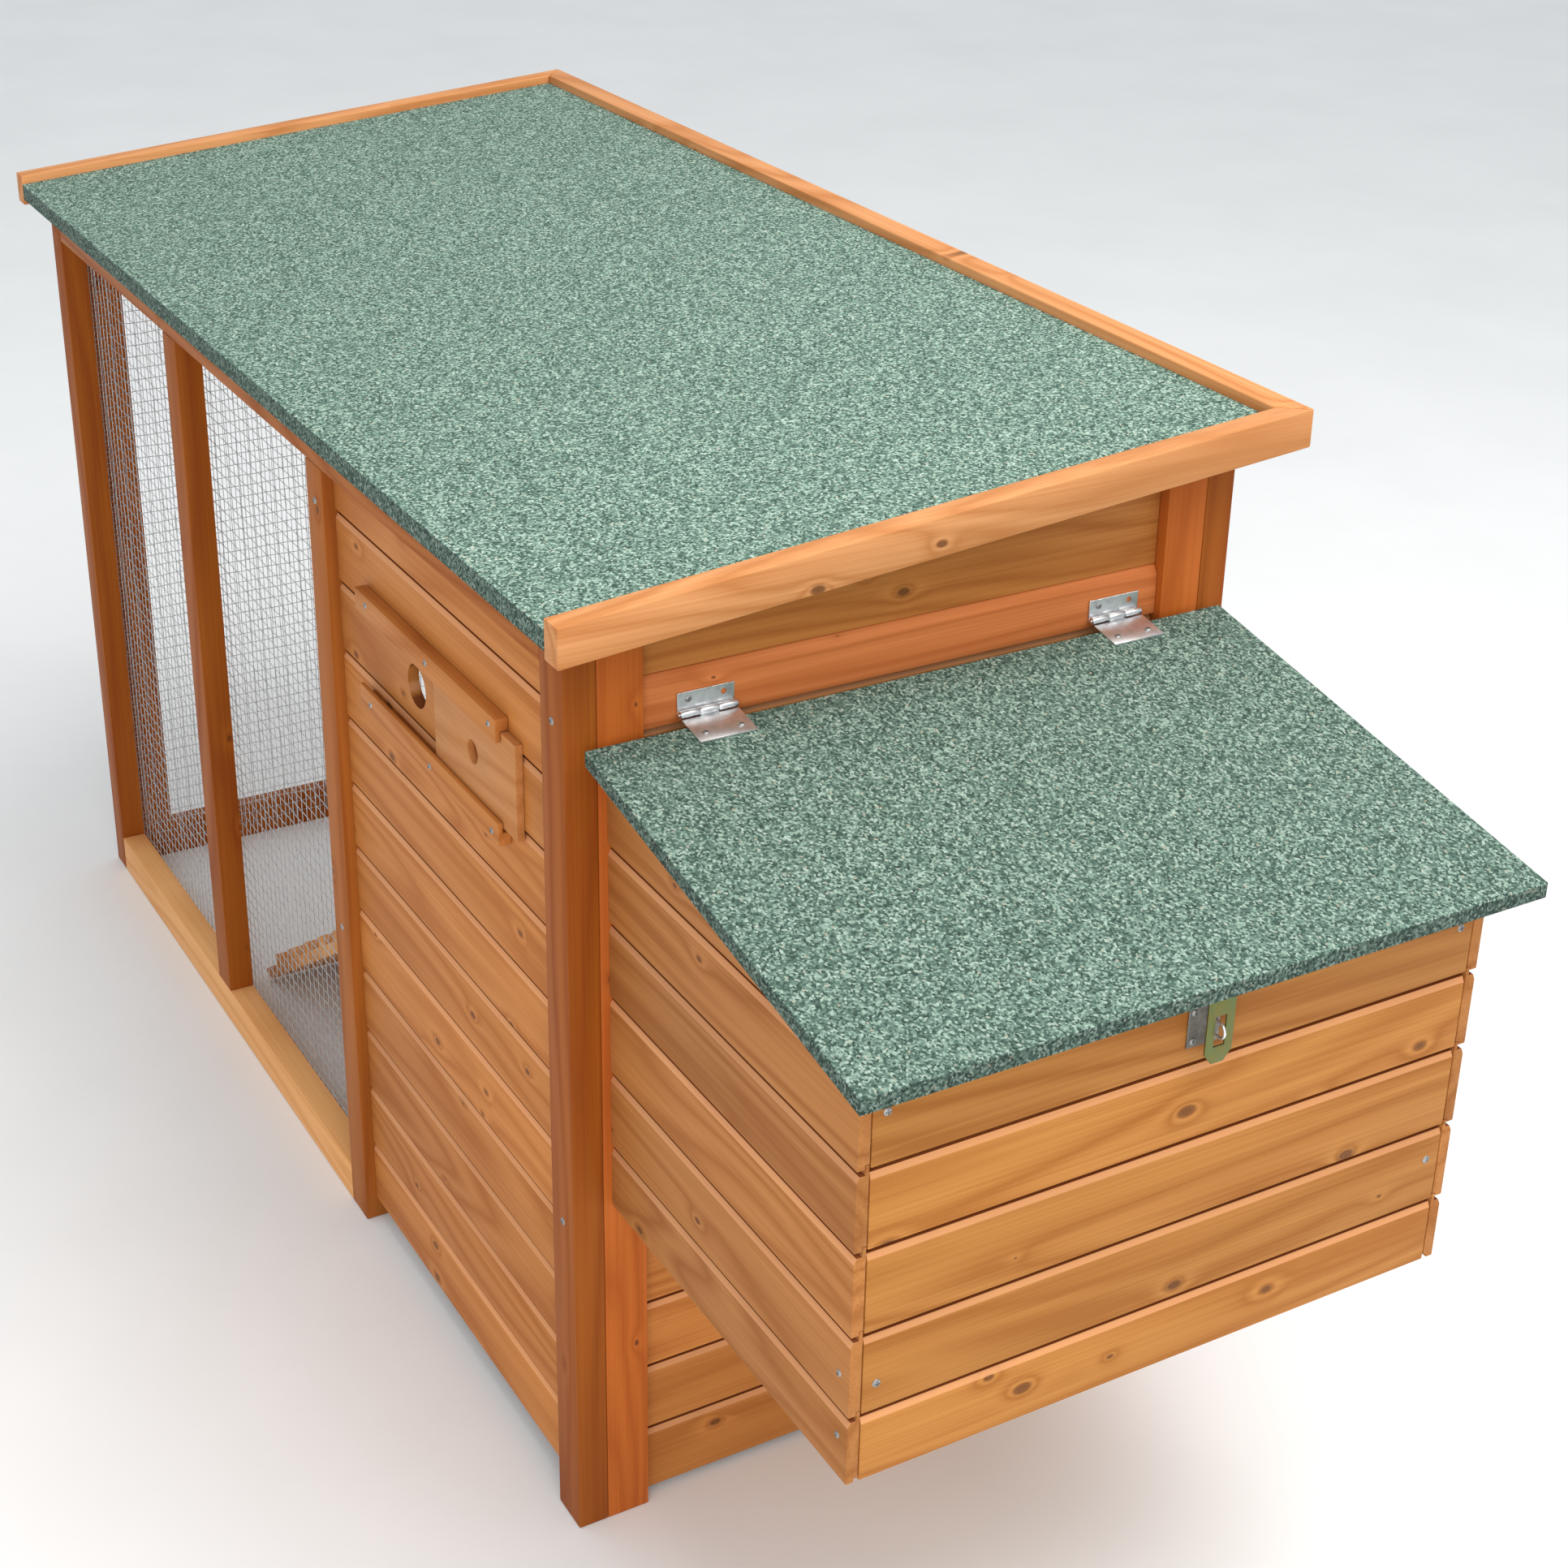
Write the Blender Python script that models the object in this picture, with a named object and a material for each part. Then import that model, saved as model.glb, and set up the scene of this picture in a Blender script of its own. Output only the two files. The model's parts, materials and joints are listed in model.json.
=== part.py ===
"""Small chicken coop: covered wire run, raised house with a nest box, sliding vent, ramp and doors.

Metres, +Z up. The part stands on z = 0 with its length along X (nest box towards +X) and its
back towards +Y. Sizes below are measured from the outer faces of the front and right-end frame.
"""

import math

import bmesh
import bpy
from mathutils import Vector

# Overall body
BODY_LENGTH = 1.235
BODY_DEPTH = 0.563
SHIFT = Vector((0.4512, -0.2895, 0.0))  # puts the middle of the whole part at x = y = 0
GAP = 0.0003

# Frame
POST_DEPTH = 0.025
LEFT_POST = (-1.235, -1.204)
MIDDLE_POST = (-0.866, -0.830)
HOUSE_POST = (-0.489, -0.453)
CORNER_POST = (-0.037, 0.0)
RAIL_TOP = 0.040
TOP_RAIL_BOTTOM = 0.7395
BACK_RAIL_LOW = 0.776
END_PANEL_THICK = 0.020
STILE = (0.0253, 0.061)
MESH_THICK = 0.0006

# Cladding
BOARD_THICK = 0.010
BOARD_PITCH = 0.062
FIRST_GROOVE = 0.083
CHAMFER_DEEP = 0.004
CHAMFER_TALL = 0.007
CLAD_FACE = 0.010

# Roof, falling towards the front
ROOF_FRONT_Y = -0.021
ROOF_BACK_Y = 0.600
ROOF_LEFT_X = -1.274
ROOF_RIGHT_X = 0.039
TRIM_FRONT_Z = 0.798
TRIM_BACK_Z = 0.8495
TRIM_THICK = 0.021
TRIM_TALL = 0.030
ROOF_SLOPE = (TRIM_BACK_Z - TRIM_FRONT_Z) / (ROOF_BACK_Y - ROOF_FRONT_Y)
FELT_DROP = 0.008
FELT_THICK = 0.0022
ROOF_BOARD = 0.010

# House inside
FLOOR_TOP = 0.300
FLOOR_THICK = 0.012
PARTITION = (-0.475, -0.465)
POP_HOLE_Y = (0.060, 0.270)
POP_HOLE_TOP = 0.560

# Nest box
NEST_DEPTH = 0.3386
NEST_Y = (0.0318, 0.532)
NEST_BOTTOM = 0.3005
NEST_BOARD = 0.0095
NEST_GROOVES = (0.355, 0.419, 0.484, 0.545, 0.607, 0.669)

# Nest box lid and its hinge line
LID_X = (0.0096, 0.3717)
LID_Y = (0.011, 0.5515)
LID_BACK_Z = 0.690
LID_SLOPE = 0.1762
LID_THICK = 0.012
HINGE_X = -0.0010
HINGE_Z = 0.6945
HINGE_WIDE = 0.045
HINGE_CENTRES = (0.1115, 0.4610)

# Hasp
HASP_Y = 0.295
HASP_X = 0.3500
HASP_PIVOT_Z = 0.6085
HASP_WIDE = 0.022
HASP_LONG = 0.057

# Sliding vent
VENT_X, VENT_Z, VENT_R = -0.290, 0.613, 0.018
RAIL_X = (-0.388, -0.114)
SLIDE_X = (-0.240, -0.090)
SLIDE_Z = (0.573, 0.651)

# Ramp
RAMP_AXIS = (-0.486, 0.296)
RAMP_ANGLE = math.radians(34.2)
RAMP_LENGTH = 0.505
RAMP_Y = (0.062, 0.262)


def trim_top(y):
    """Height of the top of the roof trim at a given depth."""
    return TRIM_FRONT_Z + ROOF_SLOPE * (y - ROOF_FRONT_Y)


def felt_top(y):
    return trim_top(y) - FELT_DROP


def board_top(y):
    return felt_top(y) - FELT_THICK - GAP


def under_roof(y):
    """Highest a wall, a post or a rail may reach at a given depth."""
    return board_top(y) - ROOF_BOARD - GAP


def lid_top(x):
    """Height of the top of the lid's felt."""
    return LID_BACK_Z - LID_SLOPE * (x - LID_X[0])


def under_lid(x):
    return lid_top(x) - LID_THICK - GAP


for old in list(bpy.data.objects):
    bpy.data.objects.remove(old, do_unlink=True)

coop = bpy.data.collections.new("chicken_coop")
bpy.context.scene.collection.children.link(coop)
cutters = bpy.data.collections.new("cutters")
bpy.context.scene.collection.children.link(cutters)

COLOURS = {
    "wood": (0.50, 0.21, 0.07, 1.0),
    "dark_wood": (0.33, 0.12, 0.04, 1.0),
    "ply": (0.55, 0.36, 0.19, 1.0),
    "felt": (0.09, 0.21, 0.15, 1.0),
    "zinc": (0.62, 0.63, 0.65, 1.0),
    "olive_zinc": (0.33, 0.38, 0.16, 1.0),
    "wire": (0.55, 0.57, 0.58, 1.0),
}


def finish(name, bm, look, origin=None, smooth=False, home=coop):
    """Makes an object of a bmesh in coop coordinates, its origin at a given point or its middle."""
    bmesh.ops.recalc_face_normals(bm, faces=bm.faces)
    bmesh.ops.translate(bm, verts=bm.verts, vec=SHIFT)
    if origin is None:
        low = Vector([min(v.co[i] for v in bm.verts) for i in range(3)])
        high = Vector([max(v.co[i] for v in bm.verts) for i in range(3)])
        centre = (low + high) / 2
    else:
        centre = Vector(origin) + SHIFT
    bmesh.ops.translate(bm, verts=bm.verts, vec=-centre)
    mesh = bpy.data.meshes.new(name)
    bm.to_mesh(mesh)
    bm.free()
    made = bpy.data.objects.new(name, mesh)
    made.location = centre
    home.objects.link(made)
    if smooth:
        for polygon in mesh.polygons:
            polygon.use_smooth = True
    material = bpy.data.materials.new(name + "_material")
    material.use_nodes = True
    shader = material.node_tree.nodes["Principled BSDF"]
    shader.inputs["Base Color"].default_value = COLOURS[look]
    shader.inputs["Roughness"].default_value = 0.35 if "zinc" in look else 0.7
    shader.inputs["Metallic"].default_value = 1.0 if look in ("zinc", "olive_zinc", "wire") else 0.0
    mesh.materials.append(material)
    return made


def add_prism(bm, low_ring, high_ring):
    """A closed prism between two rings of points."""
    low = [bm.verts.new(p) for p in low_ring]
    high = [bm.verts.new(p) for p in high_ring]
    bm.faces.new(low[::-1])
    bm.faces.new(high)
    for i in range(len(low)):
        j = (i + 1) % len(low)
        bm.faces.new((low[i], low[j], high[j], high[i]))


def extruded(bm, outline, axis, start, end):
    """A prism of an outline: (y, z) along x, (x, z) along y, (x, y) along z."""
    spots = {
        "x": lambda a, b, t: Vector((t, a, b)),
        "y": lambda a, b, t: Vector((a, t, b)),
        "z": lambda a, b, t: Vector((a, b, t)),
    }[axis]
    add_prism(bm, [spots(a, b, start) for a, b in outline], [spots(a, b, end) for a, b in outline])


def box_in(bm, x, y, z):
    extruded(bm, [(x[0], y[0]), (x[1], y[0]), (x[1], y[1]), (x[0], y[1])], "z", z[0], z[1])


def boxes(name, look, *sizes, origin=None, home=coop):
    """One object of one or more separate boxes, each ((x, x), (y, y), (z, z))."""
    bm = bmesh.new()
    for x, y, z in sizes:
        box_in(bm, x, y, z)
    return finish(name, bm, look, origin, home=home)


def column(name, look, plan, low, high, origin=None, home=coop):
    """A prism over a plan outline whose bottom and top heights are functions of x and y."""
    bm = bmesh.new()
    add_prism(
        bm,
        [Vector((x, y, low(x, y))) for x, y in plan],
        [Vector((x, y, high(x, y))) for x, y in plan],
    )
    return finish(name, bm, look, origin, home=home)


def rectangle(x, y):
    return [(x[0], y[0]), (x[1], y[0]), (x[1], y[1]), (x[0], y[1])]


def tube_in(bm, centre, axis, radius, length, sides=12, hole=0.0):
    """A round bar, or a tube when a hole radius is given."""
    ring = []
    bore = []
    for i in range(sides):
        turn = 2 * math.pi * i / sides
        ring.append((radius * math.cos(turn), radius * math.sin(turn)))
        bore.append((hole * math.cos(turn), hole * math.sin(turn)))
    frame = Vector(axis).to_track_quat("Z", "Y").to_matrix()
    middle = Vector(centre)
    ends = []
    for t in (-length / 2, length / 2):
        outer = [bm.verts.new(middle + frame @ Vector((a, b, t))) for a, b in ring]
        inner = [bm.verts.new(middle + frame @ Vector((a, b, t))) for a, b in bore] if hole else None
        ends.append((outer, inner))
    (low, low_bore), (high, high_bore) = ends
    for i in range(sides):
        j = (i + 1) % sides
        bm.faces.new((low[i], low[j], high[j], high[i]))
        if hole:
            bm.faces.new((low_bore[j], low_bore[i], high_bore[i], high_bore[j]))
            bm.faces.new((low[j], low[i], low_bore[i], low_bore[j]))
            bm.faces.new((high[i], high[j], high_bore[j], high_bore[i]))
    if not hole:
        bm.faces.new(low[::-1])
        bm.faces.new(high)


def combine(target, other, operation="DIFFERENCE"):
    """Cuts one object with another, or joins it on."""
    cut = target.modifiers.new(operation.lower(), "BOOLEAN")
    cut.operation = operation
    cut.solver = "EXACT"
    cut.object = other
    other.hide_render = True
    other.display_type = "WIRE"


def boarded_outline(edges, face, back):
    """Outline of a wall of boards joined edge to edge, each with a chamfer along its top."""
    step = math.copysign(CHAMFER_DEEP, back - face)
    outline = [(back, edges[-1]), (back, edges[0])]
    for low, high in zip(edges[:-1], edges[1:]):
        outline += [(face, low), (face, high - CHAMFER_TALL), (face + step, high)]
    return outline


def cladding(name, edges, face, back, axis, start, end):
    """A wall of boards between the given heights, glued up as one panel."""
    bm = bmesh.new()
    extruded(bm, boarded_outline(edges, face, back), axis, start, end)
    return finish(name, bm, "wood")


def cut_box(target, *sizes):
    """Cuts boxes out of an object."""
    combine(target, boxes(target.name + "_cutter", "wood", *sizes, home=cutters))


# ---------------------------------------------------------------- frame
FRONT = (0.0, POST_DEPTH)
BACK = (BODY_DEPTH - POST_DEPTH, BODY_DEPTH)


def post(name, x, y, foot):
    return column(name, "wood", rectangle(x, y), lambda a, b: foot, lambda a, b: under_roof(b))


def under_front_rail(name, x, foot):
    """A front post that stops below the top rail."""
    return boxes(name, "wood", (x, FRONT, (foot, TOP_RAIL_BOTTOM - GAP)))


post("front_left_post", LEFT_POST, FRONT, 0.0)
under_front_rail("front_middle_post", MIDDLE_POST, RAIL_TOP + GAP)
under_front_rail("front_house_post", HOUSE_POST, 0.0)
post("front_corner_post", CORNER_POST, FRONT, 0.0)
post("back_left_post", LEFT_POST, BACK, 0.0)
post("back_corner_post", CORNER_POST, BACK, 0.0)
boxes("back_middle_post", "wood", (MIDDLE_POST, BACK, (RAIL_TOP + GAP, BACK_RAIL_LOW - GAP)))
boxes("back_house_post", "wood", (HOUSE_POST, BACK, (0.0, BACK_RAIL_LOW - GAP)))

between_ends = (LEFT_POST[1] + GAP, CORNER_POST[0] - GAP)
column(
    "front_top_rail",
    "wood",
    rectangle(between_ends, FRONT),
    lambda x, y: TOP_RAIL_BOTTOM,
    lambda x, y: under_roof(y),
)
run_span = (LEFT_POST[1] + GAP, HOUSE_POST[0] - GAP)
foot = (0.0, RAIL_TOP)
boxes("front_bottom_rail", "wood", (run_span, FRONT, foot))
boxes("back_bottom_rail", "wood", (run_span, BACK, foot))
column(
    "back_top_rail",
    "wood",
    rectangle(between_ends, BACK),
    lambda x, y: BACK_RAIL_LOW,
    lambda x, y: under_roof(y),
)

# Left end panel: stiles and rails joined into one frame
panel_x = (-BODY_LENGTH, -BODY_LENGTH + END_PANEL_THICK)
BACK_STILE = (BODY_DEPTH - STILE[1], BODY_DEPTH - STILE[0])
across = (STILE[0], BACK_STILE[1])
left_frame = column(
    "left_end_frame", "wood", rectangle(panel_x, across), lambda x, y: 0.0, lambda x, y: under_roof(y)
)
cut_box(left_frame, ((-1.30, -1.15), (STILE[1], BACK_STILE[0]), (RAIL_TOP, 0.745)))

# ---------------------------------------------------------------- roof
roof_x = (ROOF_LEFT_X + TRIM_THICK + GAP, ROOF_RIGHT_X - TRIM_THICK - GAP)
roof_y = (ROOF_FRONT_Y + FELT_THICK + GAP, ROOF_BACK_Y - TRIM_THICK - GAP)
column(
    "roof_board",
    "ply",
    rectangle(roof_x, roof_y),
    lambda x, y: board_top(y) - ROOF_BOARD,
    lambda x, y: board_top(y),
)
felt_low = felt_top(ROOF_FRONT_Y) - FELT_THICK - ROOF_BOARD - 0.004
bm = bmesh.new()
extruded(
    bm,
    [
        (ROOF_FRONT_Y, felt_low),
        (ROOF_FRONT_Y, felt_top(ROOF_FRONT_Y)),
        (roof_y[1], felt_top(roof_y[1])),
        (roof_y[1], felt_top(roof_y[1]) - FELT_THICK),
        (ROOF_FRONT_Y + FELT_THICK, felt_top(ROOF_FRONT_Y + FELT_THICK) - FELT_THICK),
        (ROOF_FRONT_Y + FELT_THICK, felt_low),
    ],
    "x",
    roof_x[0],
    roof_x[1],
)
finish("roof_felt", bm, "felt")

mitre = TRIM_THICK
trims = {
    "roof_trim_left": [
        (ROOF_LEFT_X, ROOF_FRONT_Y),
        (ROOF_LEFT_X + mitre, ROOF_FRONT_Y),
        (ROOF_LEFT_X + mitre, ROOF_BACK_Y - mitre - GAP),
        (ROOF_LEFT_X, ROOF_BACK_Y - GAP),
    ],
    "roof_trim_right": [
        (ROOF_RIGHT_X - mitre, ROOF_FRONT_Y),
        (ROOF_RIGHT_X, ROOF_FRONT_Y),
        (ROOF_RIGHT_X, ROOF_BACK_Y - GAP),
        (ROOF_RIGHT_X - mitre, ROOF_BACK_Y - mitre - GAP),
    ],
    "roof_trim_back": [
        (ROOF_LEFT_X + mitre + GAP, ROOF_BACK_Y - mitre),
        (ROOF_RIGHT_X - mitre - GAP, ROOF_BACK_Y - mitre),
        (ROOF_RIGHT_X - GAP, ROOF_BACK_Y),
        (ROOF_LEFT_X + GAP, ROOF_BACK_Y),
    ],
}
for name, plan in trims.items():
    column(name, "wood", plan, lambda x, y: trim_top(y) - TRIM_TALL, lambda x, y: trim_top(y))

# ---------------------------------------------------------------- house walls
house_x = (HOUSE_POST[1] + GAP, CORNER_POST[0] - GAP)
grooves = [0.021] + [FIRST_GROOVE + BOARD_PITCH * i for i in range(11)] + [TOP_RAIL_BOTTOM - GAP]
front_wall = cladding(
    "front_cladding", grooves, CLAD_FACE, CLAD_FACE + BOARD_THICK, "x", house_x[0], house_x[1]
)
bm = bmesh.new()
tube_in(bm, (VENT_X, 0.015, VENT_Z), (0, 1, 0), VENT_R, 0.040, sides=24)
vent_cutter = finish("vent_hole_cutter", bm, "wood", home=cutters)
combine(front_wall, vent_cutter)

back_grooves = [0.021] + [FIRST_GROOVE + BOARD_PITCH * i for i in range(11)] + [BACK_RAIL_LOW - GAP]
back_face = BODY_DEPTH - CLAD_FACE
cladding(
    "back_cladding", back_grooves, back_face, back_face - BOARD_THICK, "x", house_x[0], house_x[1]
)

END_BACK = -CLAD_FACE - BOARD_THICK
post("end_front_stile", (END_BACK, 0.0), STILE, 0.0)
post("end_back_stile", (END_BACK, 0.0), BACK_STILE, 0.0)
wall_y = (STILE[1] + GAP, BACK_STILE[0] - GAP)
HINGE_BOARD = (0.6865, 0.7262)
NEST_DOORWAYS = ((0.085, 0.265), (0.299, 0.479))
lower = [0.004, 0.066, 0.128, 0.190, 0.252, 0.314, HINGE_BOARD[0] - GAP]
end_wall = cladding("end_cladding", lower, -CLAD_FACE, END_BACK, "y", wall_y[0], wall_y[1])
cut_box(end_wall, *[((-0.05, 0.02), y, (0.3113, 0.610)) for y in NEST_DOORWAYS])
bm = bmesh.new()
extruded(bm, boarded_outline(HINGE_BOARD, -0.006, END_BACK), "y", wall_y[0], wall_y[1])
finish("hinge_board", bm, "wood")
column(
    "end_top_board",
    "wood",
    rectangle((END_BACK, -CLAD_FACE), wall_y),
    lambda x, y: HINGE_BOARD[1] + GAP,
    lambda x, y: under_roof(y),
)

# Inside: floor, partition with the pop hole, perch
inner_y = (POST_DEPTH + GAP, BODY_DEPTH - POST_DEPTH - GAP)
boxes("house_floor", "ply", ((-0.476, END_BACK - GAP), inner_y, (FLOOR_TOP - FLOOR_THICK, FLOOR_TOP)))
bm = bmesh.new()
extruded(
    bm,
    [
        (inner_y[0], FLOOR_TOP + GAP),
        (POP_HOLE_Y[0], FLOOR_TOP + GAP),
        (POP_HOLE_Y[0], POP_HOLE_TOP),
        (POP_HOLE_Y[1], POP_HOLE_TOP),
        (POP_HOLE_Y[1], FLOOR_TOP + GAP),
        (inner_y[1], FLOOR_TOP + GAP),
        (inner_y[1], under_roof(inner_y[1])),
        (inner_y[0], under_roof(inner_y[0])),
    ],
    "x",
    PARTITION[0],
    PARTITION[1],
)
finish("partition", bm, "wood")
boxes("perch", "wood", ((-0.170, -0.140), inner_y, (0.360, 0.385)))

# ---------------------------------------------------------------- sliding vent
def rail_outline(low, high, lip_up):
    """Slide rail against the cladding: full depth, with a rebate the slide runs in."""
    rebate = (low - 0.001, low + 0.0085) if not lip_up else (high - 0.0085, high + 0.001)
    if lip_up:
        return [
            (-0.0010, low),
            (CLAD_FACE - GAP, low),
            (CLAD_FACE - GAP, rebate[0]),
            (0.0032, rebate[0]),
            (0.0032, high),
            (-0.0010, high),
        ]
    return [
        (-0.0010, low),
        (0.0032, low),
        (0.0032, rebate[1]),
        (CLAD_FACE - GAP, rebate[1]),
        (CLAD_FACE - GAP, high),
        (-0.0010, high),
    ]


for name, low, high, lip_up in (
    ("vent_rail_upper", 0.6435, 0.6625, False),
    ("vent_rail_lower", 0.5590, 0.5780, True),
):
    bm = bmesh.new()
    extruded(bm, rail_outline(low, high, lip_up), "x", RAIL_X[0], RAIL_X[1])
    finish(name, bm, "wood")
slide = boxes(
    "vent_slide",
    "wood",
    (SLIDE_X, (0.0036, CLAD_FACE - GAP), SLIDE_Z),
    origin=(sum(SLIDE_X) / 2, 0.0066, sum(SLIDE_Z) / 2),
)
bm = bmesh.new()
tube_in(bm, (-0.168, 0.0066, 0.612), (0, 1, 0), 0.0095, 0.030, sides=20)
combine(slide, finish("finger_hole_cutter", bm, "wood", home=cutters))

# ---------------------------------------------------------------- nest box
nest_front = (NEST_DEPTH - NEST_BOARD, NEST_DEPTH)
front_y = (NEST_Y[0] + NEST_BOARD + GAP, NEST_Y[1] - NEST_BOARD - GAP)
front_top = under_lid(NEST_DEPTH) - GAP
front_edges = [NEST_BOTTOM] + list(NEST_GROOVES[:4]) + [front_top]
cladding("nest_front_wall", front_edges, nest_front[1], nest_front[0], "y", front_y[0], front_y[1])
side_edges = [NEST_BOTTOM] + list(NEST_GROOVES) + [0.690]
for name, face, inward in (("nest_near_side", NEST_Y[0], 1), ("nest_far_side", NEST_Y[1], -1)):
    back = face + inward * NEST_BOARD
    side = cladding(name, side_edges, face, back, "x", GAP, NEST_DEPTH)
    wedge = column(
        name + "_top_cutter",
        "wood",
        rectangle((-0.05, 0.45), (min(face, back) - 0.02, max(face, back) + 0.02)),
        lambda x, y: under_lid(x),
        lambda x, y: 0.80,
        home=cutters,
    )
    combine(side, wedge)
nest_in_x = (GAP, nest_front[0] - GAP)
boxes("nest_floor", "ply", (nest_in_x, front_y, (0.3020, 0.3110)))
divider_y = (0.2775, 0.2865)
column(
    "nest_divider",
    "ply",
    rectangle((GAP, 0.3286), divider_y),
    lambda x, y: 0.3113,
    lambda x, y: 0.540,
)

# ---------------------------------------------------------------- lid, turning on the hinge line
hinge_line = (HINGE_X, sum(LID_Y) / 2, HINGE_Z)
inset = 0.0022
column(
    "lid_board",
    "ply",
    rectangle((LID_X[0] + inset, LID_X[1] - inset), (LID_Y[0] + inset, LID_Y[1] - inset)),
    lambda x, y: lid_top(x) - LID_THICK + GAP,
    lambda x, y: lid_top(x) - 0.0025,
    origin=hinge_line,
)
lid_felt = column(
    "lid_felt",
    "felt",
    rectangle(LID_X, LID_Y),
    lambda x, y: lid_top(x) - LID_THICK + GAP,
    lambda x, y: lid_top(x),
    origin=hinge_line,
)
hollow = column(
    "lid_felt_cutter",
    "felt",
    rectangle((LID_X[0] + 0.0019, LID_X[1] - 0.0019), (LID_Y[0] + 0.0019, LID_Y[1] - 0.0019)),
    lambda x, y: lid_top(x) - 0.030,
    lambda x, y: lid_top(x) - 0.0022,
    home=cutters,
)
combine(lid_felt, hollow)

KNUCKLE_R = 0.0030
PIN_R = 0.0012
OUTER_KNUCKLES = ((-0.0225, -0.0077), (0.0077, 0.0225))
MIDDLE_KNUCKLE = ((-0.0074, 0.0074),)


def hinge_leaf(name, centre, plate_outline, knuckles, origin=None):
    """One leaf of a lid hinge: its plate joined to its rolled knuckles, bored for the pin."""
    bm = bmesh.new()
    extruded(bm, plate_outline, "y", centre - HINGE_WIDE / 2, centre + HINGE_WIDE / 2)
    leaf = finish(name, bm, "zinc", origin)
    for low, high in ((-0.0225, -0.0075), (-0.0075, 0.0075), (0.0075, 0.0225)):
        mine = any(abs(low - start) < 0.001 for start, end in knuckles)
        if not mine:
            reach = 0.0034
            low_y, high_y = centre + low - 0.0002, centre + high + 0.0002
            size = (
                (HINGE_X - reach, HINGE_X + reach),
                (low_y, high_y),
                (HINGE_Z - reach, HINGE_Z + reach),
            )
            combine(leaf, boxes(name + "_relief_cutter", "zinc", size, home=cutters))
    bm = bmesh.new()
    for low, high in knuckles:
        tube_in(bm, (HINGE_X, centre + (low + high) / 2, HINGE_Z), (0, 1, 0), KNUCKLE_R, high - low)
    combine(leaf, finish(name + "_knuckles", bm, "zinc", home=cutters), "UNION")
    bm = bmesh.new()
    tube_in(bm, (HINGE_X, centre, HINGE_Z), (0, 1, 0), PIN_R + 0.0003, 0.060)
    combine(leaf, finish(name + "_bore_cutter", bm, "zinc", home=cutters))


wall_plate = [(-0.0057, 0.6925), (-0.0030, 0.6925), (-0.0030, 0.6940), (-0.0045, 0.6955),
              (-0.0045, 0.7095), (-0.0057, 0.7095)]
end_x = 0.0300
lid_plate = [
    (LID_X[0] + 0.0014, lid_top(LID_X[0] + 0.0014) + GAP),
    (end_x, lid_top(end_x) + GAP),
    (end_x, lid_top(end_x) + GAP + 0.0012),
    (0.0040, HINGE_Z + 0.0006 - 0.0030),
    (0.0005, HINGE_Z + 0.0006 - 0.0026),
    (0.0005, HINGE_Z - 0.0028),
    (0.0040, HINGE_Z - 0.0036),
]
for name, centre in zip(("near", "far"), HINGE_CENTRES):
    hinge_leaf(f"lid_hinge_{name}_wall_leaf", centre, wall_plate, OUTER_KNUCKLES)
    hinge_leaf(f"lid_hinge_{name}_lid_leaf", centre, lid_plate, MIDDLE_KNUCKLE, hinge_line)
    bm = bmesh.new()
    tube_in(bm, (HINGE_X, centre, HINGE_Z), (0, 1, 0), PIN_R, HINGE_WIDE + 0.002)
    finish(f"lid_hinge_{name}_pin", bm, "zinc")

# Hasp: a leaf under the lid, a slotted strap hanging from it, and a staple fixed to the box
boxes(
    "hasp_leaf",
    "olive_zinc",
    ((0.3420, 0.3475), (HASP_Y - 0.011, HASP_Y + 0.011), (0.6080, 0.6110)),
    origin=hinge_line,
)
bm = bmesh.new()
half = HASP_WIDE / 2
tip = HASP_PIVOT_Z - HASP_LONG
outline = [
    (HASP_Y - half, HASP_PIVOT_Z),
    (HASP_Y - half, tip + 0.008),
    (HASP_Y - half + 0.006, tip),
    (HASP_Y + half - 0.006, tip),
    (HASP_Y + half, tip + 0.008),
    (HASP_Y + half, HASP_PIVOT_Z),
]
extruded(bm, outline, "x", HASP_X, HASP_X + 0.0015)
strap = finish("hasp_strap", bm, "olive_zinc", (HASP_X, HASP_Y, HASP_PIVOT_Z))
slot_z = (0.5640, 0.5870)
slot = boxes(
    "hasp_slot_cutter",
    "zinc",
    ((HASP_X - 0.01, HASP_X + 0.01), (HASP_Y - 0.0045, HASP_Y + 0.0045), slot_z),
    home=cutters,
)
combine(strap, slot)
STAPLE_Z = 0.5755
boxes(
    "staple_plate",
    "zinc",
    ((NEST_DEPTH + GAP, NEST_DEPTH + 0.0015), (HASP_Y - 0.017, HASP_Y + 0.009), (0.560, 0.591)),
)
bm = bmesh.new()
loop_x = (NEST_DEPTH + 0.0018, 0.3570)
wire = 0.0020
extruded(
    bm,
    [
        (loop_x[0], STAPLE_Z - 0.0065),
        (loop_x[1], STAPLE_Z - 0.0065),
        (loop_x[1], STAPLE_Z + 0.0065),
        (loop_x[0], STAPLE_Z + 0.0065),
        (loop_x[0], STAPLE_Z + 0.0065 - wire),
        (loop_x[1] - wire, STAPLE_Z + 0.0065 - wire),
        (loop_x[1] - wire, STAPLE_Z - 0.0065 + wire),
        (loop_x[0], STAPLE_Z - 0.0065 + wire),
    ],
    "y",
    HASP_Y - wire / 2,
    HASP_Y + wire / 2,
)
finish("staple", bm, "zinc", (loop_x[0], HASP_Y, STAPLE_Z))

# ---------------------------------------------------------------- ramp, turning on the floor edge
slope_along = Vector((-math.cos(RAMP_ANGLE), 0, -math.sin(RAMP_ANGLE)))
slope_up = Vector((-math.sin(RAMP_ANGLE), 0, math.cos(RAMP_ANGLE)))
ramp_pivot = Vector((RAMP_AXIS[0], sum(RAMP_Y) / 2, RAMP_AXIS[1]))


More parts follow.
